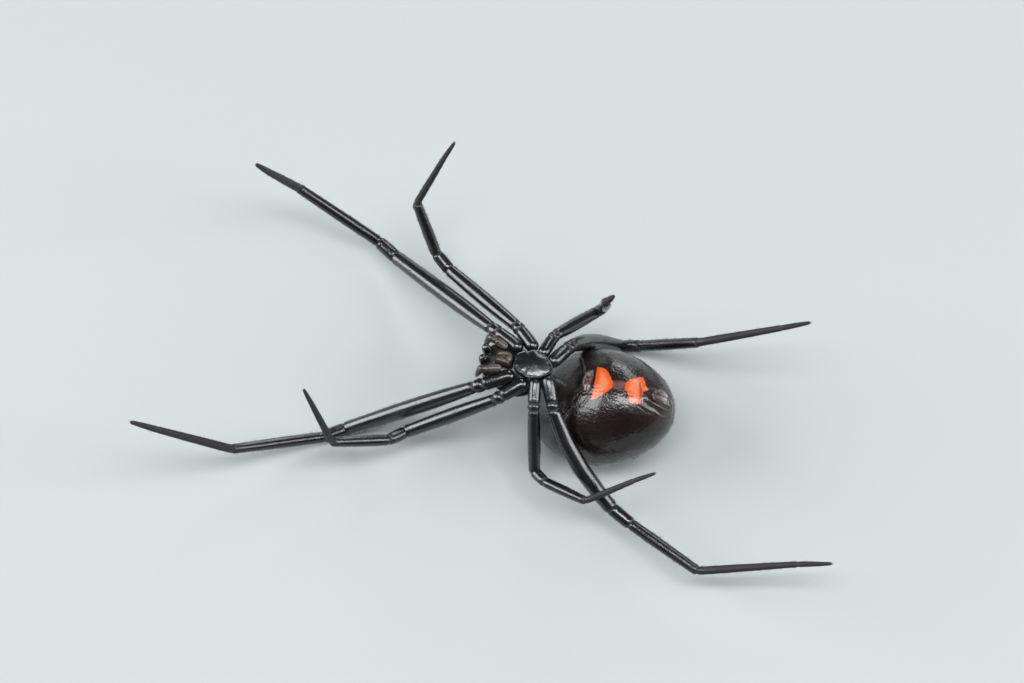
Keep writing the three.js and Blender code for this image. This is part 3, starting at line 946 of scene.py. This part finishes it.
def front_body(finish_used):
    """The carapace with its pit, neck furrows, rays and eye seats, and the two cores under it."""
    unit, faces = ball_grid(SHELL_RINGS, SHELL_SIDES)
    points = shell_shape(unit)
    core_unit, core_faces = ball_grid(CORE_RINGS, CORE_SIDES)
    core_blunt = np.sign(core_unit) * np.abs(core_unit) ** 0.8
    cores = [np.array(middle) + core_blunt * half for middle, half in CORES]
    shells = [(points, faces), *((core, core_faces) for core in cores)]
    mesh = solid_mesh("front_body_skin", shells, finish_used)
    back = step_up(-unit[:, 2], 0.05, 0.4)
    flat = (points - SHELL_MIDDLE)[:, :2]
    amount = -PIT_SINK * hill(np.linalg.norm((flat - PIT_PLACE) / PIT_SIZE, axis=1), 1) * back
    for sign in (-1, 1):
        neck = [(x, sign * y) for x, y in NECK]
        amount -= NECK_DEPTH * hill(line_distance(flat, neck), NECK_WIDTH) * back
        for heading in np.radians(RAY_HEADINGS):
            way = np.array([-math.cos(heading), sign * math.sin(heading)])
            ray = [PIT_PLACE + share * way for share in RAY_ENDS]
            amount -= RAY_DEPTH * hill(line_distance(flat, ray), RAY_WIDTH) * back
    margin = np.abs(points[:, 2] - SHELL_MIDDLE[2])
    amount += EDGE_BEAD * hill(margin, 0.06) * step_up(unit[:, 0], -0.9, -0.5)
    for middle in eye_middles.values():
        amount += EYE_SEAT * hill(np.linalg.norm(points - middle, axis=1), EYE_SEAT_WIDTH)
    amount += 0.008 * ripple(points, 0.5, 11)
    core = np.concatenate(cores)
    core_amount = 0.03 * ripple(core, 0.45, 12) + 0.012 * ripple(core, 0.16, 13)
    raise_surface(mesh, np.concatenate([amount, core_amount]))
    write(mesh, "softness", np.concatenate([np.zeros(len(points)), np.full(len(core), CORE_SOFTNESS)]))
    return mesh


piece(front_body(ARMOUR), "cuticle", "cephalothorax")

# %% [markdown]
# ## Breast plate
# Between the leg roots lies the breast plate, a shield with a beaded rim and a shallow point between
# each two legs. Its outline is smoothed from a few corners, and a profile from rim to middle gives
# the height at each share of that outline, much as a pot is turned on a wheel.

# %% Breast plate
PLATE_OUTLINE = [(-3.68, 0.33), (-3.58, 0.45), (-3.34, 0.61), (-3.14, 0.64), (-2.90, 0.78), (-2.70, 0.78),
                 (-2.48, 0.68), (-2.30, 0.65), (-2.13, 0.56), (-1.98, 0.42), (-1.84, 0.32), (-1.71, 0.14)]
PLATE_PROFILE = [(0.55, 5.2), (0.9, 5.22), (0.96, 5.5), (0.985, 5.9), (0.985, 5.97), (0.972, 6.0),
                 (0.95, 6.01), (0.925, 5.995), (0.9, 5.985), (0.86, 6.0), (0.8, 6.018), (0.68, 6.045),
                 (0.5, 6.07), (0.28, 6.09), (0.1, 6.096)]
OUTLINE_POINTS, SOFTENINGS = 160, 5


def closed_outline(half, count):
    """A smooth closed outline, mirrored across the middle of the front body."""
    corners = np.array([*half, *((x, -y) for x, y in reversed(half))])
    corners[:, 1] += SHELL_MIDDLE[1]
    closed = np.array([*corners, corners[0]])
    length = lengths_along(closed)
    at = np.linspace(0, length[-1], count, endpoint=False)
    ring = np.stack([np.interp(at, length, closed[:, k]) for k in range(2)], 1)
    for _ in range(SOFTENINGS):
        ring = (np.roll(ring, 1, axis=0) + 2 * ring + np.roll(ring, -1, axis=0)) / 4
    return ring


def turned_plate(outline, profile):
    """Rings that are smaller copies of an outline, at the heights of a profile, closed at both ends."""
    middle = outline.mean(0)
    rings = [np.insert(middle + share * (outline - middle), 2, z, axis=1) for share, z in profile]
    points = np.concatenate([*rings, [[*middle, profile[0][1]]], [[*middle, profile[-1][1] + 0.001]]])
    count = len(outline)
    index = np.arange(len(profile) * count).reshape(len(profile), count)
    after = np.roll(index, -1, axis=1)
    faces = np.stack([index[:-1], after[:-1], after[1:], index[1:]], 2).reshape(-1, 4).tolist()
    faces += [(len(points) - 2, int(b), int(a)) for a, b in zip(index[0], after[0])]
    faces += [(len(points) - 1, int(a), int(b)) for a, b in zip(index[-1], after[-1])]
    return points, faces


plate_shell = turned_plate(closed_outline(PLATE_OUTLINE, OUTLINE_POINTS), PLATE_PROFILE)
plate_mesh = solid_mesh("breast_plate", [plate_shell], ARMOUR)
raise_surface(plate_mesh, 0.01 * ripple(spots_of(plate_mesh), 0.35, 21))
breast_plate = piece(plate_mesh, "cuticle", "sternum")

# %% [markdown]
# ## Mouth
# In front of the breast plate the lip and the two chewing lobes close the mouth. They are browner
# than the armour and less glossy, with a pale speckled fringe on their inner edges. Each lobe is a
# blunt rounded block from the same closed grid as the abdomen.

# %% Mouth finish
MOUTH_DARK, MOUTH_BROWN = (0.014, 0.008, 0.006, 1), (0.029, 0.018, 0.012, 1)
FRINGE_PALE = (0.105, 0.09, 0.068, 1)


def mouth_finish():
    """Satin brown armour that pales to a speckled fringe."""
    material, tree, shader, grain = finish(
        "mouth_armour", coat=0.2, coat_rough=0.2, wrinkles_per_mm=6.0, pits_per_mm=12.0, pit_share=0.5)
    dark = blend(tree, grain["Patches"], MOUTH_DARK, MOUTH_BROWN)
    speckle = ramp(tree, grain["Height"], 0.3, 0.62)
    pale = math_node(tree, "MULTIPLY", attribute(tree, "fringe"), speckle)
    colour = blend(tree, pale, dark, FRINGE_PALE)
    rough = ramp(tree, grain["Height"], 0.2, 0.7, 0.3, 0.45)
    paint(shader, tree, colour, rough)
    bump(tree, shader, grain["Height"], 0.03)
    return material


MOUTH = mouth_finish()
print("mouth finish made")

# %% Lip and chewing lobes
LOBE_RINGS, LOBE_SIDES = 36, 44


def lobe(middle, half, heading=0.0):
    """A blunt rounded lobe turned about the upright."""
    unit, faces = ball_grid(LOBE_RINGS, LOBE_SIDES)
    blunt = np.sign(unit) * np.abs(unit) ** 0.85
    angle = math.radians(heading)
    ahead, aside = math.cos(angle), math.sin(angle)
    turned = np.array([[ahead, aside, 0], [-aside, ahead, 0], [0, 0, 1]])
    return np.array(middle) + (blunt * half) @ turned, faces


LIP_MIDDLE, LIP_HALF = (-3.94, 0.1, 5.70), (0.16, 0.24, 0.32)
LOBE_MIDDLE, LOBE_HALF = np.array([-4.22, 0.1, 5.62]), (0.43, 0.175, 0.46)
LOBE_APART, LOBE_TURN = np.array([0, 0.2, 0]), 7
lobes = [lobe(LIP_MIDDLE, LIP_HALF)]
lobes += [lobe(LOBE_MIDDLE + sign * LOBE_APART, LOBE_HALF, sign * LOBE_TURN) for sign in (-1, 1)]
mouth_mesh = solid_mesh("mouth_lobes", lobes, MOUTH)
mouth_spots = spots_of(mouth_mesh)
raise_surface(mouth_mesh, 0.01 * ripple(mouth_spots, 0.22, 22))
write(mouth_mesh, "fringe", hill(mouth_spots[:, 1] - 0.1, 0.24) * step_up(mouth_spots[:, 2], 5.7, 5.95))
mouth = piece(mouth_mesh, "mouthparts", "mouthparts")

# %% [markdown]
# ## Jaws and fangs
# Each jaw is a stout peg with a short curved fang folded across its end. Both are path skins, like the
# legs: a few corners with a thickness at each, with both ends rounded.

# %% Jaws and fangs
RING_WIDTH = 0.04


def strand(corners, radii_at_corners, joints=(), rounding=0.05, step=0.025, groove=0.12, tip=1.2):
    """A path skin's points and radii through a few corners, pinched at the joints."""
    corners = np.array(corners, float)
    length = lengths_along(corners)
    at = np.linspace(0, length[-1], max(8, int(length[-1] / step)))
    radii = np.interp(at, length, radii_at_corners)
    for joint in joints:
        radii *= 1 - groove * hill(at - joint * length[-1], RING_WIDTH)
    return smooth_path(corners, at, rounding), rounded_end(rounded_end(radii, at, at[-1], tip), at, 0)


FANG = [(0.06, 0.06, -0.03), (0.08, 0.03, 0.1), (0.19, -0.04, 0.115), (0.29, -0.11, 0.04),
        (0.34, -0.15, -0.09)]
JAW_SHARES = (-0.1, 0.25, 0.6, 0.95)
for side, sign in zip(SIDES, (1, -1)):
    jaw = Limb(f"chelicera_{side}", SHELL_MIDDLE)
    reach = jaw.last - jaw.first
    corners = [jaw.first + share * reach for share in JAW_SHARES]
    jaw_mesh = swept(f"jaw_{side}", [strand(corners, (0.24, 0.265, 0.25, 0.175), tip=0.9)], ARMOUR, 28)
    raise_surface(jaw_mesh, 0.006 * ripple(spots_of(jaw_mesh), 0.3, 23))
    piece(jaw_mesh, "cuticle", f"chelicera_{side}")
    root = jaw.last - 0.12 * reach
    fang = [root + np.array(bend) * (1, sign, 1) for bend in FANG]
    piece(swept(f"fang_{side}", [strand(fang, (0.07, 0.065, 0.05, 0.032, 0.012), step=0.015)], MOUTH, 16),
          "mouthparts")

# %% [markdown]
# ## Palps
# The palps are two small feelers, built like short legs, that reach past the mouth and fold down
# beside the head. Each follows its two solids. The first segment of a palp is part of the mouth, so
# the palps share its brown finish, palest at their roots.

# %% Palps
PALP_STEP = 0.025
PALP_PALENESS, PALE_LENGTH = 0.9, 0.55
palp_lines, palp_skins = {}, {}
for side in SIDES:
    reach = Limb(f"palp_{side}", SHELL_MIDDLE)
    elbow = reach.joint()
    fold = Limb(f"palp_{side}_tip", elbow)
    sunk = np.array([0, 0.1 * (reach.first[1] - SHELL_MIDDLE[1]), 0.12])
    root = reach.first - 0.22 * reach.axis - sunk
    end = fold.last - 0.06 * fold.axis
    wrist = elbow + 0.45 * (end - elbow)
    corners = [root, root + 0.6 * (elbow - root), elbow, wrist, end]
    points, radii = strand(corners, (0.17, 0.215, 0.185, 0.17, 0.09), (0.3, 0.52, 0.72), 0.1, PALP_STEP, 0.2)
    at = np.arange(len(points)) * PALP_STEP
    palp_lines[side] = (points, at)
    palp_mesh = swept(f"palp_{side}_skin", [(points, radii)], MOUTH, 24,
                      fringe=PALP_PALENESS * hill(at, PALE_LENGTH), outwards=at)
    palp_skins[side] = piece(palp_mesh, "cuticle", f"palp_{side}", f"palp_{side}_tip")

# %% [markdown]
# ## Waist
# A thin ringed tube joins the front body to the abdomen. It starts inside the front body and dips
# well into the abdomen, so that neither end shows.

# %% Waist
INTO_ABDOMEN = (0.9, 0, -0.9)
WAIST_RINGS = (0.2, 0.28, 0.36, 0.44, 0.52)
WAIST_SOFTNESS = 0.6
waist = Limb("pedicel", SHELL_MIDDLE)
run = waist.last - waist.first
bends = [waist.first - 0.5 * run, waist.first, waist.last - 0.3 * run, waist.last + INTO_ABDOMEN]
points, radii = strand(bends, (0.22, 0.21, 0.22, 0.32), WAIST_RINGS, 0.15, groove=0.09)
piece(swept("waist_skin", [(points, radii)], ARMOUR, 24, softness=np.full(len(points), WAIST_SOFTNESS)),
      "cuticle", "pedicel")

# %% [markdown]
# ## Eyes
# Eight small clear lenses stand in two rows across the front of the head. Each is a ball sunk about
# half into its raised seat, black, with a wet gloss, which is a high coat weight and a low roughness.

# %% Eyes
EYE_SINK = 0.055
LENS_SHARE = 0.97
HEAD_CORE = (-0.9, 0, -0.3)


def eye_finish():
    """A wet black lens."""
    material, tree, shader, grain = finish("eye_lens", coat=1.0, coat_rough=0.02, specular=0.7)
    colour = blend(tree, grain["Patches"], (0.002, 0.002, 0.0025, 1), (0.008, 0.006, 0.005, 1))
    paint(shader, tree, colour, ramp(tree, grain["Patches"], 0, 1, 0.04, 0.08))
    return material


EYE = eye_finish()
for name, middle in eye_middles.items():
    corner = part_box(name)[1]
    radius = (corner.z / MM - middle[2]) * LENS_SHARE
    inwards = SHELL_MIDDLE + HEAD_CORE - middle
    spot = middle + inwards / np.linalg.norm(inwards) * EYE_SINK
    unit, faces = ball_grid(20, 28)
    piece(solid_mesh(f"{name}_lens", [(spot + radius * unit, faces)], EYE), "eye", name)

# %% [markdown]
# ## Spinnerets
# Three pairs of short cones stand in a ring at the tail, with a small peg before them and a knob
# behind. They lean together and are dark at the root and pale at the tip, so each path skin carries
# a value that rises from 0 to 1 along it.

# %% Spinneret finish
CONE_ROOT, CONE_TIP = (0.05, 0.032, 0.03, 1), (0.40, 0.33, 0.32, 1)


def spinneret_finish():
    """Satin skin, dark at the root of a cone and pale at its tip."""
    material, tree, shader, grain = finish(
        "spinneret_skin", wrinkles_per_mm=9.0, pits_per_mm=14.0, pit_share=0.3)
    pale = attribute(tree, "thinness")
    colour = blend(tree, pale, CONE_ROOT, CONE_TIP)
    rough = ramp(tree, grain["Height"], 0.2, 0.7, 0.4, 0.6)
    paint(shader, tree, colour, rough)
    bump(tree, shader, grain["Height"], 0.03)
    return material


SPINNERET = spinneret_finish()
print("spinneret finish made")

# %% Spinnerets
CONES = [(0.17, -0.15, 0.52, 0.145, 0.08), (0.17, 0.15, 0.48, 0.13, 0.065), (0.06, 0.02, 0.38, 0.065, 0.035)]
SINGLE_CONES = [(0.0, -0.29, 0.16, 0.055, 0.02), (0.0, 0.33, 0.22, 0.11, 0.03)]
CONE_LEAN = 0.55
out_way = spinneret_limb.axis
across_way = np.array([0.0, 1.0, 0.0])
behind_way = np.cross(across_way, out_way)
cones = []
for across, behind, height, wide, thin in [*CONES, *((-a, *rest) for a, *rest in CONES), *SINGLE_CONES]:
    aside = across * across_way + behind * behind_way
    foot = spinneret_limb.first + aside
    top = spinneret_limb.first + CONE_LEAN * aside + height * out_way
    corners = [foot - 0.15 * out_way, foot + 0.45 * (top - foot), foot + 0.55 * (top - foot), top]
    cones.append(strand(corners, (wide, wide * 0.92, wide * 0.78, thin), (0.52,), 0.02, 0.012, 0.1))
paleness = np.concatenate([np.linspace(0, 1, len(points)) ** 1.4 for points, _ in cones])
piece(swept("spinneret_cones", cones, SPINNERET, 20, thinness=paleness), "spinnerets", "spinnerets")

# %% [markdown]
# ## Claws and comb
# Each foot ends in two curved claws and a smaller one between them. The foot of the last leg has a
# comb of stout hooked bristles, the mark of the comb-footed spiders. A hook is a tiny path skin, drawn
# once as a list of points ahead and down, and placed in the frame of each foot.

# %% Claws and comb
HOOK = np.array([(-0.04, 0.0), (0.03, 0.012), (0.09, 0.005), (0.135, -0.02), (0.16, -0.055)])
HOOK_RADII = np.array([0.02, 0.018, 0.014, 0.009, 0.004])
CLAWS = [(0.028, 1.0, 0.025), (-0.028, 1.0, -0.025), (0.0, 0.6, 0.0)]
COMB_TEETH, COMB_MARGIN = 10, 0.15
hooks = []
for (side, pair), (points, radii, at, joints) in leg_lines.items():
    ahead = points[-1] - points[-12]
    ahead /= np.linalg.norm(ahead)
    flat_side = np.cross(ahead, (0, 0, 1))
    flat_side /= np.linalg.norm(flat_side)
    under = np.cross(ahead, flat_side)
    base = points[-1] - 0.05 * ahead
    for across, size, splay in CLAWS:
        asides = across + splay * np.maximum(HOOK[:, 0], 0) / HOOK[-1, 0]
        drawn = size * (HOOK[:, :1] * ahead - HOOK[:, 1:] * under)
        line = base + asides[:, None] * flat_side + drawn
        hooks.append(strand(line, HOOK_RADII * size ** 0.5, step=0.014))
    if pair == 4:
        for tooth in np.linspace(joints[TARSUS] + COMB_MARGIN, joints[TIP] - COMB_MARGIN, COMB_TEETH):
            seat = np.array([np.interp(tooth, at, points[:, k]) for k in range(3)])
            width = np.interp(tooth, at, radii)
            line = [seat - (width - 0.02) * under, seat - (width + 0.05) * under + 0.05 * ahead,
                    seat - (width + 0.07) * under + 0.12 * ahead]
            hooks.append(strand(line, (0.014, 0.01, 0.004), step=0.02))
piece(swept("claws_and_combs", hooks, ARMOUR, 6), "cuticle")

# %% [markdown]
# ## Bristles
# A black widow looks bare, yet short bristles cover its legs and, more thinly, its abdomen. They lie
# along each part and point to its tip, and only a few stand out from the outline. One Geometry Nodes
# tree scatters points on a skin and puts a thin bent cone on each. Every bristle keeps a small patch
# of the skin's unwrap, so it can be baked with the colour of the place where it grows.

# %% Bristle tree
PATCH = 0.003
UPRIGHT, RUFFLE, CURL = 0.6, 0.22, 0.3


def bristle_tree():
    """Scatter thin bent cones on a skin, each with its own small patch of the skin's unwrap."""
    inlets = {
        "Geometry": ("Geometry", None),
        "Per square mm": ("Float", 30.0),
        "Length mm": ("Float", 0.16),
        "Thickness mm": ("Float", 0.013),
        "Lean": ("Float", 0.7),
        "Seed": ("Int", 1),
        "Finish": ("Material", None),
    }
    tree, given, out = group("bristles", "GeometryNodeTree", inlets, {"Geometry": ("Geometry", None)})

    def stored(name, kind):
        carried = add(tree, "GeometryNodeInputNamedAttribute", {"Name": name}, data_type=kind)
        return carried.outputs["Attribute"]

    def times(value, by):
        return math_node(tree, "MULTIPLY", value, by)

    def vector(operation, wires):
        return add(tree, "ShaderNodeVectorMath", wires, operation=operation).outputs[0]

    density = times(times(given["Per square mm"], 1 / MM ** 2), stored("bristle_share", "FLOAT"))
    roots = add(tree, "GeometryNodeDistributePointsOnFaces", {
        "Mesh": given["Geometry"], "Density": density, "Seed": given["Seed"]})
    length = times(given["Length mm"], MM)
    cone = add(tree, "GeometryNodeMeshCone", {
        "Vertices": 4, "Side Segments": 3, "Radius Top": 0.0,
        "Radius Bottom": times(given["Thickness mm"], MM / 2), "Depth": length}, fill_type="NGON")
    spot = add(tree, "GeometryNodeInputPosition").outputs[0]
    share = math_node(tree, "DIVIDE", add(tree, "ShaderNodeSeparateXYZ", {0: spot}).outputs["Z"], length)
    curl = times(times(times(share, share), length), CURL)
    shift = add(tree, "ShaderNodeCombineXYZ", {"X": curl}).outputs[0]
    bent = add(tree, "GeometryNodeSetPosition", {
        "Geometry": cone.outputs["Mesh"], "Offset": shift}).outputs[0]
    patch = vector("SCALE", {0: cone.outputs["UV Map"], "Scale": PATCH})
    bristle = add(tree, "GeometryNodeStoreNamedAttribute", {
        "Geometry": bent, "Name": "patch", "Value": patch},
        data_type="FLOAT_VECTOR", domain="CORNER").outputs[0]
    lay = stored("lay", "FLOAT_VECTOR")
    ruffle = add(tree, "FunctionNodeRandomValue", {
        "Min": (-RUFFLE,) * 3, "Max": (RUFFLE,) * 3, "Seed": given["Seed"]},
        data_type="FLOAT_VECTOR").outputs[0]
    leaning = vector("SCALE", {0: lay, "Scale": given["Lean"]})
    upright = vector("SCALE", {0: roots.outputs["Normal"], "Scale": UPRIGHT})
    way = vector("ADD", {0: vector("ADD", {0: leaning, 1: upright}), 1: ruffle})
    turn = add(tree, "FunctionNodeAxesToRotation", {
        "Primary Axis": way, "Secondary Axis": lay}, primary_axis="Z", secondary_axis="X").outputs[0]
    size = add(tree, "FunctionNodeRandomValue", {
        "Min": 0.55, "Max": 1.25, "Seed": given["Seed"]}, data_type="FLOAT").outputs[1]
    placed = add(tree, "GeometryNodeInstanceOnPoints", {
        "Points": roots.outputs["Points"], "Instance": bristle, "Rotation": turn,
        "Scale": times(size, stored("bristle_size", "FLOAT"))}).outputs[0]
    whole = add(tree, "GeometryNodeRealizeInstances", {"Geometry": placed}).outputs[0]
    place = vector("ADD", {0: stored("unwrap", "FLOAT_VECTOR"), 1: stored("patch", "FLOAT_VECTOR")})
    mapped = add(tree, "GeometryNodeStoreNamedAttribute", {
        "Geometry": whole, "Name": "OFBake", "Value": place}, data_type="FLOAT2", domain="CORNER").outputs[0]
    smooth = add(tree, "GeometryNodeSetShadeSmooth", {"Geometry": mapped}).outputs[0]
    done = add(tree, "GeometryNodeSetMaterial", {"Geometry": smooth, "Material": given["Finish"]}).outputs[0]
    tree.links.new(done, out["Geometry"])
    return tree


BRISTLES = bristle_tree()
print(f"bristle tree with {len(BRISTLES.nodes)} nodes")

# %% [markdown]
# ## Bristle finish
# A bristle takes on the colour of the place where it grows: brown-black on the armour, orange on the
# marks and pale on the lobes' inner edges. The tree copies those values from the skin to each bristle.

# %% Bristle finish
BRISTLE_DARK, BRISTLE_BROWN = (0.005, 0.004, 0.004, 1), (0.014, 0.010, 0.009, 1)
BRISTLE_ORANGE, BRISTLE_PALE = (0.55, 0.12, 0.03, 1), (0.17, 0.14, 0.10, 1)


def bristle_finish():
    """Dark down that takes on the colour of its place."""
    material, tree, shader, grain = finish("bristle", wrinkles_per_mm=3.0)
    body = blend(tree, grain["Patches"], BRISTLE_DARK, BRISTLE_BROWN)
    marked = blend(tree, attribute(tree, "on_mark"), body, BRISTLE_ORANGE)
    colour = blend(tree, attribute(tree, "fringe"), marked, BRISTLE_PALE)
    paint(shader, tree, colour, ramp(tree, grain["Patches"], 0.2, 0.8, 0.35, 0.5))
    return material


BRISTLE = bristle_finish()
print("bristle finish made")

# %% [markdown]
# ## Growing a coat
# A coat starts as a copy of its skin that also carries the way the bristles lie, how many grow at
# each point, how long they are, and the skin's unwrap: how far round and how far along each point is.
# A face that crosses the line where the unwrap is cut would stretch over all of it, so its low turns
# are raised by one.

# %% Growing bristles on a skin
def vector_attribute(mesh, name, values, domain="POINT"):
    """Store one vector on each point or corner."""
    made = mesh.attributes.new(name, "FLOAT_VECTOR", domain)
    made.data.foreach_set("vector", np.asarray(values, np.float32).ravel())


def unwrap(mesh, across, along):
    """Store the skin's own unwrap on its corners, cut along one line and closed up at its poles."""
    corner = np.empty(len(mesh.loops), np.int32)
    mesh.loops.foreach_get("vertex_index", corner)
    turn, ahead = np.asarray(across, float)[corner], np.asarray(along, float)[corner]
    for face in mesh.polygons:
        span = slice(face.loop_start, face.loop_start + face.loop_total)
        known = turn[span]
        if np.nanmax(known) - np.nanmin(known) > 0.5:
            known = np.where(known < 0.5, known + 1, known)
        turn[span] = np.where(np.isnan(known), np.nanmean(known), known)
    inside = 1 - 2 * PATCH
    vector_attribute(mesh, "unwrap", np.column_stack([turn, ahead, 0 * ahead]) * inside, "CORNER")


def grow(name, slot, skin, seed, lay, share, size, across, along, sizes):
    """Grow one coat on a copy of a skin; sizes are count per square mm, length, thickness and lean."""
    base = skin.data.copy()
    vector_attribute(base, "lay", lay)
    write(base, "bristle_share", share)
    write(base, "bristle_size", np.broadcast_to(size, len(lay)))
    unwrap(base, across, along)
    values = dict(zip(("Per square mm", "Length mm", "Thickness mm", "Lean"), sizes))
    return piece(run_tree(name, base, BRISTLES, {**values, "Seed": seed, "Finish": BRISTLE}), slot)


def path_lay(mesh, points, at):
    """The way to the tip at each point of a path skin."""
    along = read(mesh, "outwards")
    tangent = np.gradient(points, axis=0)
    tangent /= np.linalg.norm(tangent, axis=1)[:, None]
    return np.column_stack([np.interp(along, at, tangent[:, k]) for k in range(3)])


print("coat helpers ready")

# %% [markdown]
# ## Coats of the legs and palps
# Leg bristles point to the foot and grow closer together towards it, as on the real animal, and none
# grow in the soft rings. All coats share one tree, and each has its own seed and sizes: how many grow
# on a square millimetre, their length and thickness in millimetres, and how far they lean.

# %% Coats of the legs and palps
LEG_BRISTLES = (26.0, 0.17, 0.013, 0.75)
PALP_BRISTLES = (36.0, 0.13, 0.012, 0.8)
LEG_SEED, PALP_SEED = 10, 30
for number, ((side, pair), skin) in enumerate(leg_skins.items()):
    points, radii, at, joints = leg_lines[side, pair]
    along = read(skin.data, "outwards")
    clear = 1 - np.clip(read(skin.data, "softness") * 3, 0, 1)
    reach = along / at[-1]
    size = np.interp(along, [0, joints[PATELLA], joints[TARSUS], joints[TIP]], [0.8, 1.1, 0.9, 0.7])
    grow(f"leg_{side}{pair}_bristles", "cuticle", skin, LEG_SEED + number, path_lay(skin.data, points, at),
         clear * (0.35 + 1.3 * reach), size, read(skin.data, "around"), reach, LEG_BRISTLES)
for number, (side, skin) in enumerate(palp_skins.items()):
    points, at = palp_lines[side]
    along = read(skin.data, "outwards")
    grow(f"palp_{side}_bristles", "cuticle", skin, PALP_SEED + number, path_lay(skin.data, points, at),
         np.full(len(along), 1.0), 0.8, read(skin.data, "around"), along / at[-1], PALP_BRISTLES)

# %% [markdown]
# ## Coats of the body
# The abdomen has a thin, even down that lies back towards the tail and leaves the edges of the marks
# and the plate nearly bare. The lobes have a dense fringe that points inwards over the mouth, and
# the breast plate has a few bristles.

# %% Bristles of the abdomen
EGG_BRISTLES = (17.0, 0.13, 0.0105, 0.9)
EGG_SEED = 50


def ball_unwrap(rings, sides):
    """Turn and polar share of each point of a ball grid."""
    unit, _ = ball_grid(rings, sides)
    turn = np.mod(np.arctan2(unit[:, 2], unit[:, 1]) / (2 * np.pi), 1)
    turn[[0, -1]] = np.nan
    return turn, np.arccos(-unit[:, 0].clip(-1, 1)) / np.pi


egg_spots = spots_of(abdomen.data)
egg_turn, egg_polar = ball_unwrap(EGG_RINGS, EGG_SIDES)
write(abdomen.data, "on_mark", step_up(read(abdomen.data, "mark_edge"), -0.02, 0.04))
bare = step_up(np.abs(read(abdomen.data, "mark_edge") - 0.02), 0.03, 0.12)
grown = bare * step_up(egg_spots[:, 2], 0.1, 0.5) * (1 - 0.8 * read(abdomen.data, "plate"))
backwards = np.tile((1.0, 0.0, 0.0), (len(egg_spots), 1))
grow("abdomen_bristles", "abdomen", abdomen, EGG_SEED, backwards, grown, 1.0,
     egg_turn, egg_polar, EGG_BRISTLES)

# %% Fringe of the mouth
FRINGE_BRISTLES = (420.0, 0.11, 0.011, 0.5)
FRINGE_SEED = 60
lobe_turn, lobe_polar = ball_unwrap(LOBE_RINGS, LOBE_SIDES)
lobe_polar = np.concatenate([(number + lobe_polar) / len(lobes) for number in range(len(lobes))])
inwards = np.tile((-0.5, 0.0, 0.3), (len(mouth_spots), 1))
inwards[:, 1] = SHELL_MIDDLE[1] - mouth_spots[:, 1]
inwards /= np.linalg.norm(inwards, axis=1)[:, None]
grow("mouth_fringe", "mouthparts", mouth, FRINGE_SEED, inwards, read(mouth_mesh, "fringe"), 1.0,
     np.tile(lobe_turn, len(lobes)), lobe_polar, FRINGE_BRISTLES)

# %% Bristles of the breast plate
SHIELD_BRISTLES = (14.0, 0.14, 0.011, 0.6)
SHIELD_SEED = 61
plate_spots = spots_of(plate_mesh)
top = step_up(plate_spots[:, 2], 5.99, 6.02)
level = plate_spots[:, :2] - plate_spots[:, :2].mean(0)
grow("breast_plate_bristles", "cuticle", breast_plate, SHIELD_SEED, np.tile((1.0, 0.0, 0.1), (len(top), 1)),
     top, 1.0, 0.25 + 0.2 * level[:, 1], 0.5 + 0.3 * level[:, 0], SHIELD_BRISTLES)
